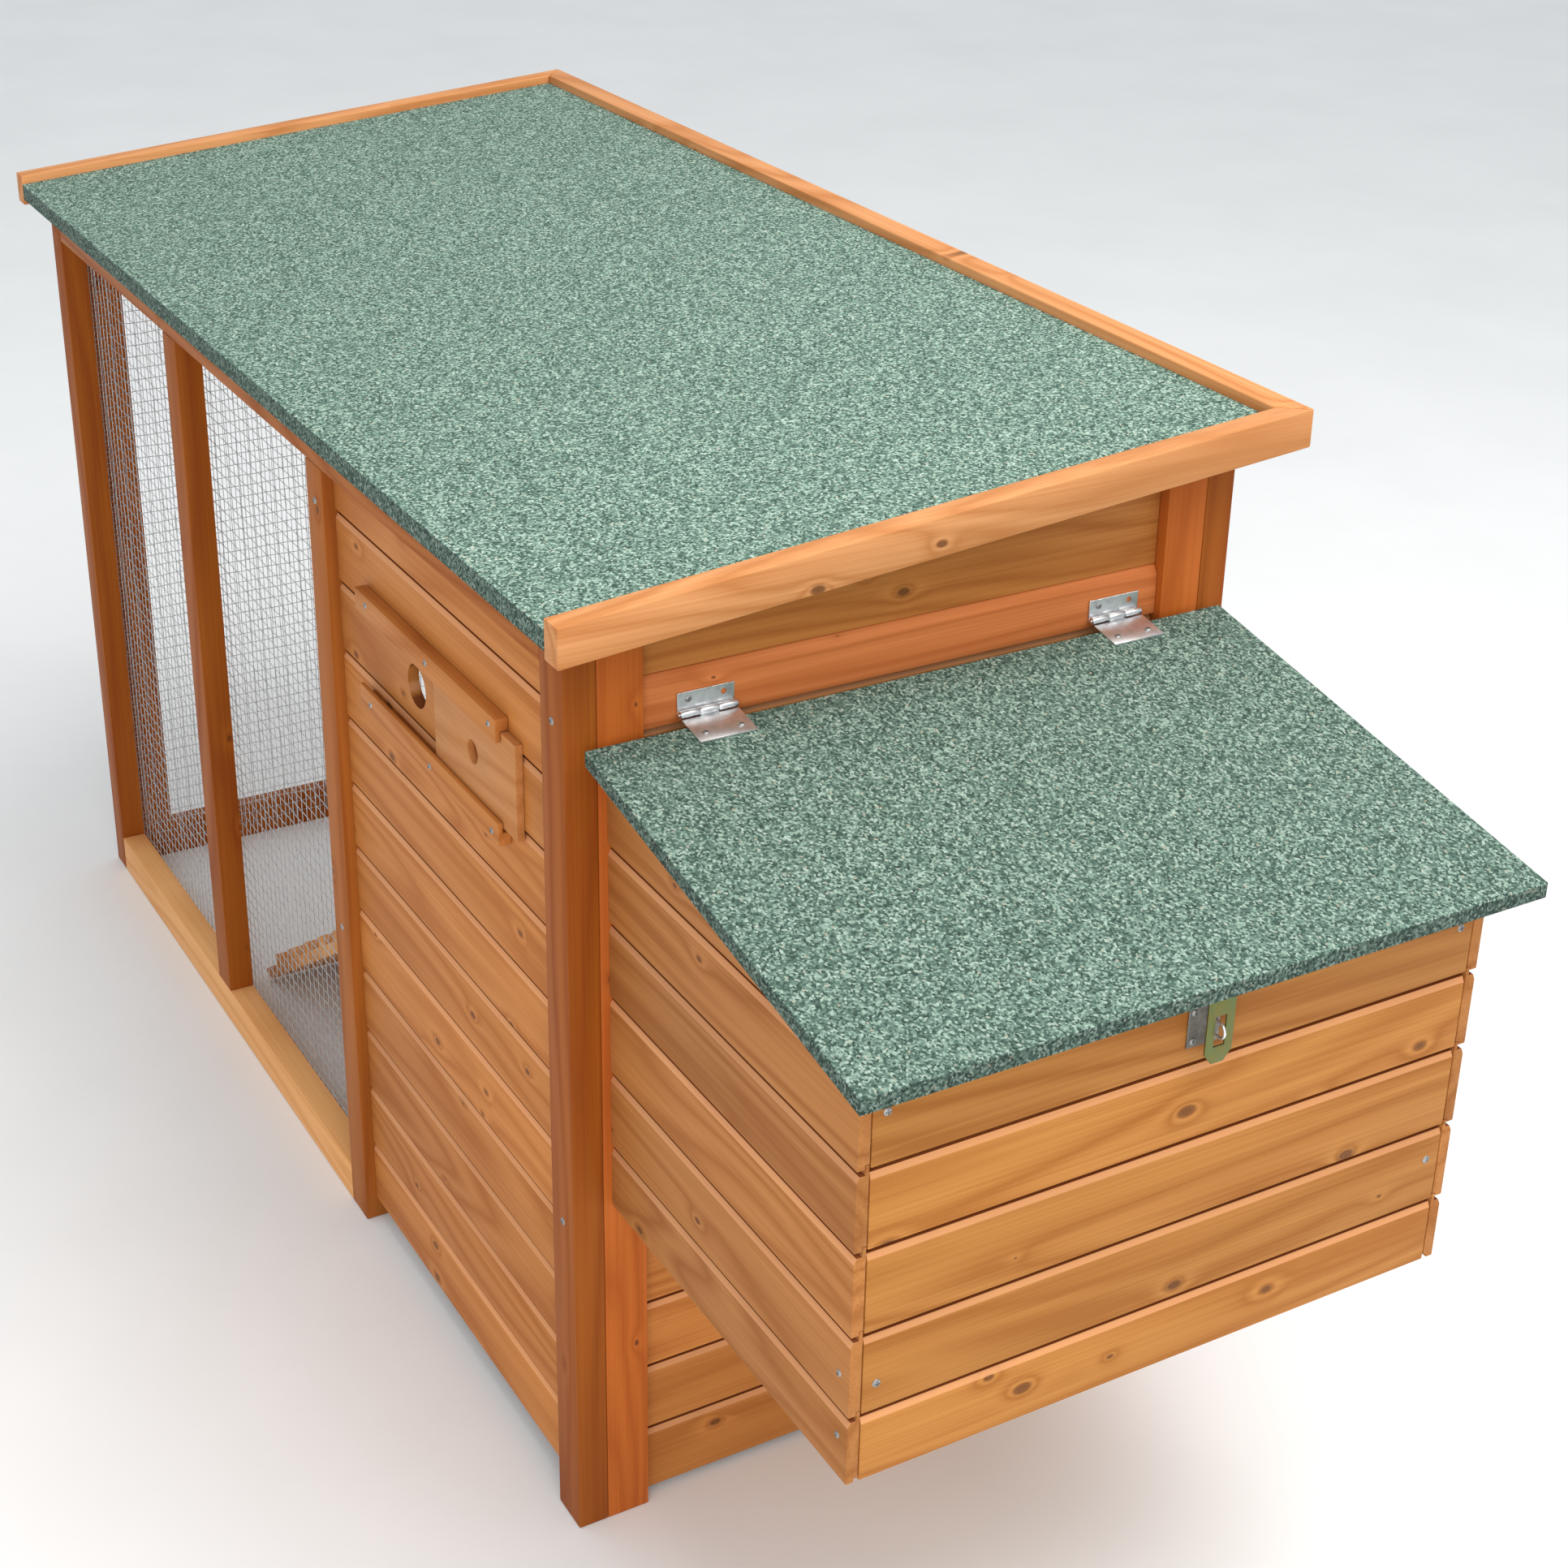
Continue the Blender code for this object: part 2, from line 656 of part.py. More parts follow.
def on_ramp(along, up):
    spot = ramp_pivot + slope_along * along + slope_up * up
    return (spot.x, spot.z)


RUNG_RISE = 0.010
ramp_outline = [on_ramp(0.008, -0.0140), on_ramp(RAMP_LENGTH, -0.0140), on_ramp(RAMP_LENGTH, -0.0020)]
for i in reversed(range(8)):
    start = 0.045 + 0.057 * i
    for along, up in ((start + 0.015, 0.0), (start + 0.015, RUNG_RISE), (start, RUNG_RISE), (start, 0.0)):
        ramp_outline.append(on_ramp(along, up - 0.0020))
ramp_outline.append(on_ramp(0.008, -0.0020))
bm = bmesh.new()
extruded(bm, ramp_outline, "y", RAMP_Y[0], RAMP_Y[1])
finish("ramp", bm, "wood", ramp_pivot)
bm = bmesh.new()
tube_in(bm, ramp_pivot, (0, 1, 0), 0.0025, 0.190)
finish("ramp_hinge_pin", bm, "zinc")

# ---------------------------------------------------------------- run door and wire mesh
door_back = BODY_DEPTH
frame_y = (door_back - 0.020, door_back)
run_x = (LEFT_POST[1] + 0.001, MIDDLE_POST[0] - 0.001)
run_z = (RAIL_TOP + 0.001, BACK_RAIL_LOW - 0.001)
run_hinge = (LEFT_POST[1] + GAP, door_back + 0.0033, sum(run_z) / 2)
WIDE = 0.030
door_frame = boxes("run_door_frame", "wood", (run_x, frame_y, run_z), origin=run_hinge)
window = ((run_x[0] + WIDE, run_x[1] - WIDE), (0.50, 0.60), (run_z[0] + WIDE, run_z[1] - WIDE))
cut_box(door_frame, window)
mesh_y = (frame_y[0] - GAP - MESH_THICK, frame_y[0] - GAP)
boxes(
    "run_door_mesh",
    "wire",
    ((run_x[0] + 0.008, run_x[1] - 0.008), mesh_y, (run_z[0] + 0.008, run_z[1] - 0.008)),
    origin=run_hinge,
)
leaf_y = (door_back + GAP, door_back + 0.0015)
for name, z in (("lower", 0.150), ("upper", 0.660)):
    tall = (z - 0.020, z + 0.020)
    bm = bmesh.new()
    far = run_hinge[0] - 0.0240
    ring = [
        (run_hinge[0] + 0.0025 * math.cos(math.radians(a)), run_hinge[1] + 0.0025 * math.sin(math.radians(a)))
        for a in (-100, -60, -20, 20, 60, 100, 140, 180)
    ]
    outline = [(far, leaf_y[0]), (run_hinge[0] - 0.0010, leaf_y[0])] + ring
    outline += [(run_hinge[0] - 0.0027, leaf_y[1]), (far, leaf_y[1])]
    extruded(bm, outline, "z", tall[0], tall[1])
    finish(f"run_door_{name}_fixed_leaf", bm, "zinc")
    moving_x = (run_hinge[0] + 0.0034, run_hinge[0] + 0.0240)
    boxes(f"run_door_{name}_moving_leaf", "zinc", (moving_x, leaf_y, tall), origin=run_hinge)
button_at = (MIDDLE_POST[0] + 0.016, door_back + 0.0006, 0.420)
boxes(
    "run_door_button",
    "wood",
    (
        (button_at[0] - 0.042, button_at[0] + 0.012),
        (button_at[1], button_at[1] + 0.008),
        (button_at[2] - 0.009, button_at[2] + 0.009),
    ),
    origin=button_at,
)

front_mesh_y = (POST_DEPTH + GAP, POST_DEPTH + GAP + MESH_THICK)
boxes("front_mesh", "wire", ((-1.2140, -0.4765), front_mesh_y, (0.012, 0.768)))
back_mesh_y = (BACK[0] - GAP - MESH_THICK, BACK[0] - GAP)
boxes("back_mesh", "wire", ((MIDDLE_POST[0] + 0.010, -0.4765), back_mesh_y, (0.012, 0.806)))
left_x = (panel_x[1] + GAP, panel_x[1] + GAP + MESH_THICK)
column(
    "left_end_mesh",
    "wire",
    rectangle(left_x, (0.0268, 0.5360)),
    lambda x, y: 0.012,
    lambda x, y: under_roof(y) - 0.004,
)
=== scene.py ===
# %% [markdown]
# # A small chicken coop, cell by cell
# A covered wire run, a raised hen house with a sliding vent, and a nest box with a lifting lid.
# Each cell makes one kind of part, and says what it made.

# %%
import json
import math

import bmesh
import bpy
from mathutils import Matrix, Vector


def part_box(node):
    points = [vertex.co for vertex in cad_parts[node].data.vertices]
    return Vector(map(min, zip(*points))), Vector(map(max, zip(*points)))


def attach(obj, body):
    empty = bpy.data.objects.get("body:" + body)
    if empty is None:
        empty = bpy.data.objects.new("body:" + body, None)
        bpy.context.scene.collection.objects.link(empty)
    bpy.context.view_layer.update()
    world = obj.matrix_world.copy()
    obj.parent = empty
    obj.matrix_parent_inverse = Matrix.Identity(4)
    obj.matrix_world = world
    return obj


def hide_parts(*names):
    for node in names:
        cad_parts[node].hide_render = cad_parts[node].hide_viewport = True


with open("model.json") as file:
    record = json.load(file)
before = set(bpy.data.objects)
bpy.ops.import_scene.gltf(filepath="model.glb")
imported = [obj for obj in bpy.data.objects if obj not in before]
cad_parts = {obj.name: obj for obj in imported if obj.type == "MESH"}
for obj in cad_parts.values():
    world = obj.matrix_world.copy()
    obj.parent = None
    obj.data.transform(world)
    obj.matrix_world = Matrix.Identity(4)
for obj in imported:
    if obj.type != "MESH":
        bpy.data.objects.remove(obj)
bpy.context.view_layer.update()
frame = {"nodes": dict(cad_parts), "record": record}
NODES = frame["nodes"]
MID_X, MID_Y = 0.4512, -0.2895   # from the house corner to the middle of the coop
print("solids ready:", len(NODES))


# %% [markdown]
# ## Shader helpers
# Short names for adding a node and joining two sockets.

# %%
def new_material(name):
    material = bpy.data.materials.new(name)
    material.use_nodes = True
    tree = material.node_tree
    tree.nodes.clear()
    shader = tree.nodes.new("ShaderNodeBsdfPrincipled")
    out = tree.nodes.new("ShaderNodeOutputMaterial")
    tree.links.new(shader.outputs[0], out.inputs[0])
    return material, tree, shader


def add(tree, kind, **settings):
    node = tree.nodes.new(kind)
    for key, value in settings.items():
        setattr(node, key, value)
    return node


def feed(tree, target, value):
    if isinstance(value, bpy.types.NodeSocket):
        tree.links.new(value, target)
    elif value is not None:
        target.default_value = value


def maths(tree, operation, a, b=None, c=None):
    node = add(tree, "ShaderNodeMath", operation=operation)
    for socket, value in zip(node.inputs, (a, b, c)):
        feed(tree, socket, value)
    return node.outputs[0]


def vector_maths(tree, operation, a, b):
    node = add(tree, "ShaderNodeVectorMath", operation=operation)
    feed(tree, node.inputs[0], a)
    feed(tree, node.inputs[1], b)
    return node.outputs[0]


def ramp(tree, value, stops, smooth=False):
    node = add(tree, "ShaderNodeValToRGB")
    node.color_ramp.interpolation = "EASE" if smooth else "LINEAR"
    while len(node.color_ramp.elements) < len(stops):
        node.color_ramp.elements.new(0.5)
    for element, (place, colour) in zip(node.color_ramp.elements, stops):
        element.position = place
        element.color = (*colour, 1.0)
    feed(tree, node.inputs[0], value)
    return node.outputs[0]


def mix(tree, factor, a, b, blend="MIX"):
    node = add(tree, "ShaderNodeMix", data_type="RGBA", blend_type=blend)
    feed(tree, node.inputs[0], factor)
    feed(tree, node.inputs[6], (*a, 1.0) if isinstance(a, tuple) else a)
    feed(tree, node.inputs[7], (*b, 1.0) if isinstance(b, tuple) else b)
    return node.outputs[2]


def noise(tree, place, scale, detail=3.0, rough=0.55, warp=0.0):
    node = add(tree, "ShaderNodeTexNoise")
    feed(tree, node.inputs["Vector"], place)
    node.inputs["Scale"].default_value = scale
    node.inputs["Detail"].default_value = detail
    node.inputs["Roughness"].default_value = rough
    node.inputs["Distortion"].default_value = warp
    return node.outputs[0]


def bump(tree, shader, height, strength, distance):
    node = add(tree, "ShaderNodeBump")
    node.inputs["Strength"].default_value = strength
    node.inputs["Distance"].default_value = distance
    feed(tree, node.inputs["Height"], height)
    tree.links.new(node.outputs[0], shader.inputs["Normal"])


# %% [markdown]
# ## Stained softwood
# Growth rings are the contours of a stretched noise; they bend round knots.
# Boards of one wall are told apart by height, so each has a grain of its own.

# %%
def knot_field(tree, place, along, knots):
    """Distance to the nearest knot, and that knot's size, which is next to nothing for most."""
    parts = add(tree, "ShaderNodeSeparateXYZ")
    feed(tree, parts.inputs[0], place)
    x, y, z = parts.outputs
    length, breadth = {"x": (x, z), "y": (y, z), "z": (z, maths(tree, "ADD", x, y))}[along]
    flat = add(tree, "ShaderNodeCombineXYZ")
    feed(tree, flat.inputs[0], maths(tree, "MULTIPLY", length, 0.6))
    feed(tree, flat.inputs[1], breadth)
    cell = add(tree, "ShaderNodeTexVoronoi", feature="F1", voronoi_dimensions="2D")
    feed(tree, cell.inputs["Vector"], flat.outputs[0])
    cell.inputs["Scale"].default_value = 15.0
    chance = add(tree, "ShaderNodeSeparateColor")
    feed(tree, chance.inputs[0], cell.outputs["Color"])
    size = maths(tree, "MULTIPLY_ADD", chance.outputs[0], 1.5, 0.4 * knots - 1.15)
    return cell.outputs["Distance"], maths(tree, "MAXIMUM", size, 0.0001)


def painted_joint_light_shade_and_stain(tree, body):
    """Paler chamfers along the tops of boards, painted light because they face up and partly a paler stain;
    dark down in the joints and under boards, painted shade and partly stain.
    """
    parts = add(tree, "ShaderNodeSeparateXYZ")
    feed(tree, parts.inputs[0], add(tree, "ShaderNodeTexCoord").outputs["Normal"])
    facing = maths(tree, "MULTIPLY_ADD", parts.outputs[2], 0.5, 0.5)
    # Up-facing chamfers are made paler: painted light, partly a paler stain.
    pale = ramp(tree, facing, [(0.58, (0, 0, 0)), (0.65, (1, 1, 1)), (0.77, (1, 1, 1)), (0.83, (0, 0, 0))])
    # Up-facing ledges in the joints and board undersides are made dark red: painted shade, partly stain in
    # the joints.
    joint_shade_and_stain_mask = ramp(tree, facing, [(0.10, (1, 1, 1)), (0.25, (0, 0, 0)), (0.84, (0, 0, 0)), (0.90, (1, 1, 1))])
    body = mix(tree, maths(tree, "MULTIPLY", pale, 0.60), body, (0.80, 0.38, 0.18))
    return mix(tree, maths(tree, "MULTIPLY", joint_shade_and_stain_mask, 0.85), body, (0.21, 0.052, 0.016))


def wood(name, along="x", seed=0.0, light=(0.64, 0.250, 0.062), dark=(0.41, 0.125, 0.024),
         boards=None, knots=1.0, shade=1.0):
    material, tree, shader = new_material(name)
    place = add(tree, "ShaderNodeTexCoord").outputs["Object"]
    place = vector_maths(tree, "ADD", place, (seed * 1.37, seed * 0.71, seed * 2.13))
    tone = 1.0
    if boards:
        parts = add(tree, "ShaderNodeSeparateXYZ")
        feed(tree, parts.inputs[0], add(tree, "ShaderNodeTexCoord").outputs["Object"])
        above = maths(tree, "SUBTRACT", parts.outputs[2], boards[0])
        level = maths(tree, "FLOOR", maths(tree, "DIVIDE", above, boards[1]))
        chance = add(tree, "ShaderNodeTexWhiteNoise", noise_dimensions="1D")
        feed(tree, chance.inputs["W"], maths(tree, "ADD", level, seed + 0.31))
        shift = vector_maths(tree, "MULTIPLY", chance.outputs["Color"], (7.0, 7.0, 7.0))
        place = vector_maths(tree, "ADD", place, shift)
        tone = maths(tree, "MULTIPLY_ADD", chance.outputs["Value"], 0.22, 0.89)
    stretch = {"x": (0.10, 1, 1), "y": (1, 0.10, 1), "z": (1, 1, 0.10)}[along]
    grain_place = vector_maths(tree, "MULTIPLY", place, stretch)
    near, size = knot_field(tree, place, along, knots)
    pull = maths(tree, "MULTIPLY", maths(tree, "POWER", 2.718, maths(tree, "MULTIPLY", near, -16.0)), size)
    wave = noise(tree, grain_place, 9.0, 2.2, 0.45, 0.4)
    field = maths(tree, "ADD", wave, maths(tree, "MULTIPLY", pull, 0.34))
    rings = maths(tree, "PINGPONG", maths(tree, "MULTIPLY", field, 12.0), 0.5)
    rings = maths(tree, "POWER", maths(tree, "MULTIPLY", rings, 2.0), 1.6)
    fibre_place = vector_maths(tree, "MULTIPLY", grain_place, stretch)
    fibre = noise(tree, fibre_place, 420.0, 2.0, 0.6)
    body = ramp(tree, maths(tree, "MULTIPLY_ADD", rings, 0.34, maths(tree, "MULTIPLY", fibre, 0.60)),
                [(0.12, light), (0.62, dark)])
    blotch = noise(tree, place, 5.0, 2.0, 0.5)
    body = mix(tree, maths(tree, "MULTIPLY", blotch, 0.45), body, tuple(c * 0.80 for c in light))
    spread = maths(tree, "DIVIDE", near, maths(tree, "MULTIPLY", size, 0.100))
    core = ramp(tree, spread, [(0.40, (1, 1, 1)), (1.0, (0, 0, 0))], True)
    body = mix(tree, maths(tree, "MULTIPLY", core, 0.72), body, (0.085, 0.026, 0.010))
    if boards:
        # Painted light on up-facing chamfers, and painted shade with some stain in the joints.
        body = painted_joint_light_shade_and_stain(tree, body)
    scale = add(tree, "ShaderNodeHueSaturation")
    feed(tree, scale.inputs["Color"], body)
    feed(tree, scale.inputs["Value"], maths(tree, "MULTIPLY", tone, shade))
    feed(tree, shader.inputs["Base Color"], scale.outputs[0])
    feed(tree, shader.inputs["Roughness"], maths(tree, "MULTIPLY_ADD", rings, 0.10, 0.50))
    shader.inputs["Specular IOR Level"].default_value = 0.13
    height = maths(tree, "ADD", maths(tree, "MULTIPLY", rings, 0.35), fibre)
    bump(tree, shader, height, 0.22, 0.0006)
    return material


print("wood recipe ready")


# %% [markdown]
# ## Mineral felt, plywood and metals
# The felt is a bed of coloured granules; the metals carry fine scratches and dull spots.

# %%
def felt(name, brightness=1.0):
    material, tree, shader = new_material(name)
    place = add(tree, "ShaderNodeTexCoord").outputs["Object"]
    wobble = noise(tree, place, 900.0, 1.0)
    jog = vector_maths(tree, "MULTIPLY", wobble, (0.0012, 0.0012, 0.0012))
    place_two = vector_maths(tree, "ADD", place, jog)
    cell = add(tree, "ShaderNodeTexVoronoi", feature="F1")
    feed(tree, cell.inputs["Vector"], place_two)
    cell.inputs["Scale"].default_value = 600.0
    parts = add(tree, "ShaderNodeSeparateColor")
    feed(tree, parts.inputs[0], cell.outputs["Color"])
    b = brightness
    stops = [
        (0.00, (0.022 * b, 0.052 * b, 0.040 * b)),
        (0.30, (0.085 * b, 0.170 * b, 0.128 * b)),
        (0.62, (0.225 * b, 0.360 * b, 0.285 * b)),
        (0.90, (0.500 * b, 0.690 * b, 0.560 * b)),
        (0.985, (0.700 * b, 0.860 * b, 0.740 * b)),
        (1.00, (0.620 * b, 0.520 * b, 0.380 * b)),
    ]
    body = ramp(tree, parts.outputs[0], stops)
    drift = noise(tree, place, 7.0, 3.0, 0.6)
    body = mix(tree, maths(tree, "MULTIPLY", drift, 0.22), body, (0.150 * b, 0.245 * b, 0.195 * b))
    feed(tree, shader.inputs["Base Color"], body)
    shader.inputs["Roughness"].default_value = 0.86
    shader.inputs["Specular IOR Level"].default_value = 0.35
    grit = maths(tree, "SUBTRACT", parts.outputs[1], maths(tree, "MULTIPLY", cell.outputs["Distance"], 0.8))
    bump(tree, shader, grit, 0.55, 0.0012)
    return material


def plywood(name, along="x"):
    return wood(name, along, 3.3, (0.62, 0.42, 0.22), (0.47, 0.29, 0.14), knots=0.4)


def metal(name, colour, rough, patch=None):
    material, tree, shader = new_material(name)
    place = add(tree, "ShaderNodeTexCoord").outputs["Object"]
    cloud = noise(tree, place, 160.0, 4.0, 0.6, 0.5)
    scratch = noise(tree, vector_maths(tree, "MULTIPLY", place, (1, 0.06, 1)), 1500.0, 2.0)
    other = patch or tuple(c * 0.72 for c in colour)
    body = mix(tree, ramp(tree, cloud, [(0.40, (0, 0, 0)), (0.68, (1, 1, 1))]), colour, other)
    feed(tree, shader.inputs["Base Color"], body)
    shader.inputs["Metallic"].default_value = 0.92
    feed(tree, shader.inputs["Roughness"], maths(tree, "MULTIPLY_ADD", cloud, 0.25, rough))
    bump(tree, shader, maths(tree, "ADD", cloud, scratch), 0.10, 0.0003)
    return material


ZINC = metal("bright_zinc", (0.78, 0.79, 0.80), 0.22)
WIRE = metal("galvanised_wire", (0.66, 0.69, 0.70), 0.34)
SCREW_ZINC = metal("screw_zinc", (0.42, 0.42, 0.41), 0.34)
DULL = metal("dull_zinc", (0.30, 0.28, 0.25), 0.42)
OLIVE = metal("olive_zinc", (0.150, 0.185, 0.070), 0.30, (0.200, 0.180, 0.055))
# Each felt has a darker copy for its edges: painted shade on the sides.
ROOF_FELT = (felt("roof_felt_top", 0.76), felt("roof_felt_edge_painted_shade", 0.42))
LID_FELT = (felt("lid_felt_top", 0.60), felt("lid_felt_edge_painted_shade", 0.36))
print("felt, plywood and metals ready")


# %% [markdown]
# ## Turning a solid into a finished piece
# A clean copy of the solid gets softened edges and a material, and stands in for the solid.

# %%
def owner_of(node):
    for body, nodes in frame["record"]["behaviour"]["bodies"].items():
        if node in nodes:
            return body


def piece(name, mesh, body, stands_for=(), materials=(), smooth=None):
    """A finished object at the origin, riding its body."""
    made = bpy.data.objects.new(name, mesh)
    bpy.context.scene.collection.objects.link(made)
    for material in materials:
        mesh.materials.append(material)
    if smooth is not None:
        mesh.shade_smooth()
        mesh.set_sharp_from_angle(angle=math.radians(smooth))
    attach(made, body)
    if stands_for:
        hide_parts(*stands_for)
    return made


def clean_solid(node, soften=0.0, segments=1):
    """The solid's own shape as a bmesh with merged points, flat faces and softened edges."""
    bm = bmesh.new()
    bm.from_mesh(NODES[node].data)
    bm.transform(NODES[node].matrix_world)
    bmesh.ops.remove_doubles(bm, verts=bm.verts, dist=2e-5)
    bmesh.ops.dissolve_limit(bm, angle_limit=math.radians(1.0), verts=bm.verts, edges=bm.edges)
    if soften:
        sharp = [e for e in bm.edges if len(e.link_faces) == 2 and e.calc_face_angle(0) > math.radians(20)]
        bmesh.ops.bevel(bm, geom=sharp, offset=soften, segments=segments, affect="EDGES", profile=0.6,
                        clamp_overlap=True)
    bmesh.ops.recalc_face_normals(bm, faces=bm.faces)
    return bm


def to_mesh(bm, name):
    mesh = bpy.data.meshes.new(name)
    bm.to_mesh(mesh)
    bm.free()
    return mesh


def finish_solid(node, material, soften=0.0012, segments=2, smooth=30):
    mesh = to_mesh(clean_solid(node, soften, segments), node + "_shape")
    return piece(node + "_piece", mesh, owner_of(node), [node], [material], smooth)


POST = dict(light=(0.41, 0.115, 0.012), dark=(0.27, 0.058, 0.006), knots=0.5)
STILE = dict(light=(0.60, 0.155, 0.024), dark=(0.42, 0.090, 0.012))
HINGE = dict(light=(0.78, 0.255, 0.080), dark=(0.52, 0.137, 0.033))
POST_FRONT = dict(light=(0.48, 0.150, 0.022), dark=(0.30, 0.075, 0.010), knots=0.5)
RAIL = dict(light=(0.80, 0.40, 0.155), dark=(0.60, 0.255, 0.078))
# The front bottom rail is made brighter than the other rails: painted light on it.
BOTTOM_RAIL_PAINTED_LIGHT = dict(light=(0.95, 0.500, 0.200), dark=(0.76, 0.340, 0.110))
TRIM = dict(light=(0.76, 0.350, 0.140), dark=(0.50, 0.180, 0.050), knots=1.3)
timbers = {
    "front_left_post": ("z", POST), "front_middle_post": ("z", POST), "front_house_post": ("z", POST_FRONT),
    "front_corner_post": ("z", POST), "back_left_post": ("z", POST), "back_middle_post": ("z", POST),
    "back_house_post": ("z", POST), "back_corner_post": ("z", POST),
    "end_front_stile": ("z", STILE), "end_back_stile": ("z", STILE), "left_end_frame": ("z", POST),
    "front_top_rail": ("x", POST_FRONT), "front_bottom_rail": ("x", BOTTOM_RAIL_PAINTED_LIGHT),
    "back_top_rail": ("x", POST_FRONT),
    "back_bottom_rail": ("x", RAIL), "hinge_board": ("y", HINGE), "end_top_board": ("y", {}),
    "roof_trim_left": ("y", TRIM), "roof_trim_right": ("y", TRIM), "roof_trim_back": ("x", TRIM),
    "partition": ("y", {}), "perch": ("y", RAIL), "vent_rail_upper": ("x", {}), "vent_rail_lower": ("x", {}),
    "run_door_frame": ("z", POST_FRONT), "run_door_button": ("x", RAIL), "ramp": ("x", RAIL),
}
for number, (node, (along, look)) in enumerate(timbers.items()):
    finish_solid(node, wood(node + "_wood", along, 1.0 + number * 0.77, **look))
sheets = ("roof_board", "lid_board", "house_floor", "nest_floor", "nest_divider")
for node in sheets:
    finish_solid(node, plywood(node + "_ply", "x"), 0.0006, 1)
print("timbers and sheets:", len(timbers) + len(sheets))


# %% [markdown]
# ## Boards by Geometry Nodes
# One board repeated at an even pitch makes a wall. The tree has a name for each of its inputs.

# %%
def new_tree(name, inputs):
    tree = bpy.data.node_groups.new(name, "GeometryNodeTree")
    for label, kind in inputs:
        tree.interface.new_socket(name=label, in_out="INPUT", socket_type=kind)
    tree.interface.new_socket(name="Geometry", in_out="OUTPUT", socket_type="NodeSocketGeometry")
    return tree, tree.nodes.new("NodeGroupInput"), tree.nodes.new("NodeGroupOutput")


def link(tree, source, target):
    tree.links.new(source, target)


def run_tree(tree, values, name):
    """Runs a tree on an empty mesh and returns the result as a plain mesh."""
    carrier = bpy.data.objects.new(name + "_carrier", bpy.data.meshes.new(name + "_seed"))
    bpy.context.scene.collection.objects.link(carrier)
    modifier = carrier.modifiers.new("repeat", "NODES")
    modifier.node_group = tree
    for item in tree.interface.items_tree:
        if item.in_out == "INPUT" and item.name in values:
            modifier[item.identifier] = values[item.name]
    bpy.context.view_layer.update()
    graph = bpy.context.evaluated_depsgraph_get()
    mesh = bpy.data.meshes.new_from_object(carrier.evaluated_get(graph), depsgraph=graph)
    mesh.name = name
    carrier.modifiers.remove(modifier)
    bpy.data.objects.remove(carrier, do_unlink=True)
    return mesh


def repeat_tree():
    tree, given, out = new_tree("repeat_along_line", [
        ("Piece", "NodeSocketObject"), ("Count", "NodeSocketInt"), ("Start", "NodeSocketVector"),
        ("Step", "NodeSocketVector"), ("Jitter", "NodeSocketFloat"), ("Seed", "NodeSocketInt"),
        ("Material", "NodeSocketMaterial")])
    line = add(tree, "GeometryNodeMeshLine", mode="OFFSET")
    link(tree, given.outputs["Count"], line.inputs["Count"])
    link(tree, given.outputs["Start"], line.inputs["Start Location"])
    link(tree, given.outputs["Step"], line.inputs["Offset"])
    info = add(tree, "GeometryNodeObjectInfo")
    link(tree, given.outputs["Piece"], info.inputs["Object"])
    chance = add(tree, "FunctionNodeRandomValue", data_type="FLOAT")
    link(tree, given.outputs["Seed"], chance.inputs["Seed"])
    centred = add(tree, "ShaderNodeMath", operation="MULTIPLY_ADD")
    link(tree, chance.outputs[1], centred.inputs[0])
    link(tree, given.outputs["Jitter"], centred.inputs[1])
    centred.inputs[2].default_value = 0.0
    turn = add(tree, "ShaderNodeCombineXYZ")
    link(tree, centred.outputs[0], turn.inputs[2])
    spread = add(tree, "GeometryNodeInstanceOnPoints")
    link(tree, line.outputs[0], spread.inputs["Points"])
    link(tree, info.outputs["Geometry"], spread.inputs["Instance"])
    link(tree, turn.outputs[0], spread.inputs["Rotation"])
    real = add(tree, "GeometryNodeRealizeInstances")
    link(tree, spread.outputs[0], real.inputs[0])
    paint = add(tree, "GeometryNodeSetMaterial")
    link(tree, real.outputs[0], paint.inputs["Geometry"])
    link(tree, given.outputs["Material"], paint.inputs["Material"])
    link(tree, paint.outputs[0], out.inputs[0])
    return tree


REPEAT = repeat_tree()


def prism_mesh(name, outline, axis, start, end, soften=0.0008):
    """A closed bar of an outline: (y, z) along x, (x, z) along y."""
    bm = bmesh.new()
    spots = {"x": lambda a, b, t: (t, a, b), "y": lambda a, b, t: (a, t, b)}[axis]
    low = [bm.verts.new(spots(a, b, start)) for a, b in outline]
    high = [bm.verts.new(spots(a, b, end)) for a, b in outline]
    bm.faces.new(low)
    bm.faces.new(high)
    for i in range(len(low)):
        j = (i + 1) % len(low)
        bm.faces.new((low[i], low[j], high[j], high[i]))
    bmesh.ops.recalc_face_normals(bm, faces=bm.faces)
    if soften:
        bmesh.ops.bevel(bm, geom=list(bm.edges), offset=soften, segments=2, affect="EDGES", profile=0.6,
                        clamp_overlap=True)
    return to_mesh(bm, name)


JOINT_GAP = 0.0020        # half the open slot between two boards
CHAMFER_DEEP = 0.0020
CHAMFER_TALL = 0.0046
TONGUE_DEPTH = 0.0060     # how far behind the face the tongue stands
TONGUE_LIFT = 0.0030
LAP_ROOM = 0.0003


def board_profile(face, inward, low, high, tongue=True, thick=0.0094):
    """Section of a lapped board: a chamfered top, a tongue behind it, and a rebate for the one below."""
    bottom, top = low + JOINT_GAP, high - JOINT_GAP
    back, step = face + inward * thick, face + inward * TONGUE_DEPTH
    outline = [(face, bottom), (face, top - CHAMFER_TALL), (face + inward * CHAMFER_DEEP, top)]
    if tongue:
        inner, peak = step + inward * LAP_ROOM, high + JOINT_GAP + TONGUE_LIFT - LAP_ROOM
        outline += [(inner, top), (inner, peak), (back, peak)]
    else:
        outline += [(back, top)]
    return outline + [(back, bottom + TONGUE_LIFT), (step, bottom + TONGUE_LIFT), (step, bottom)]


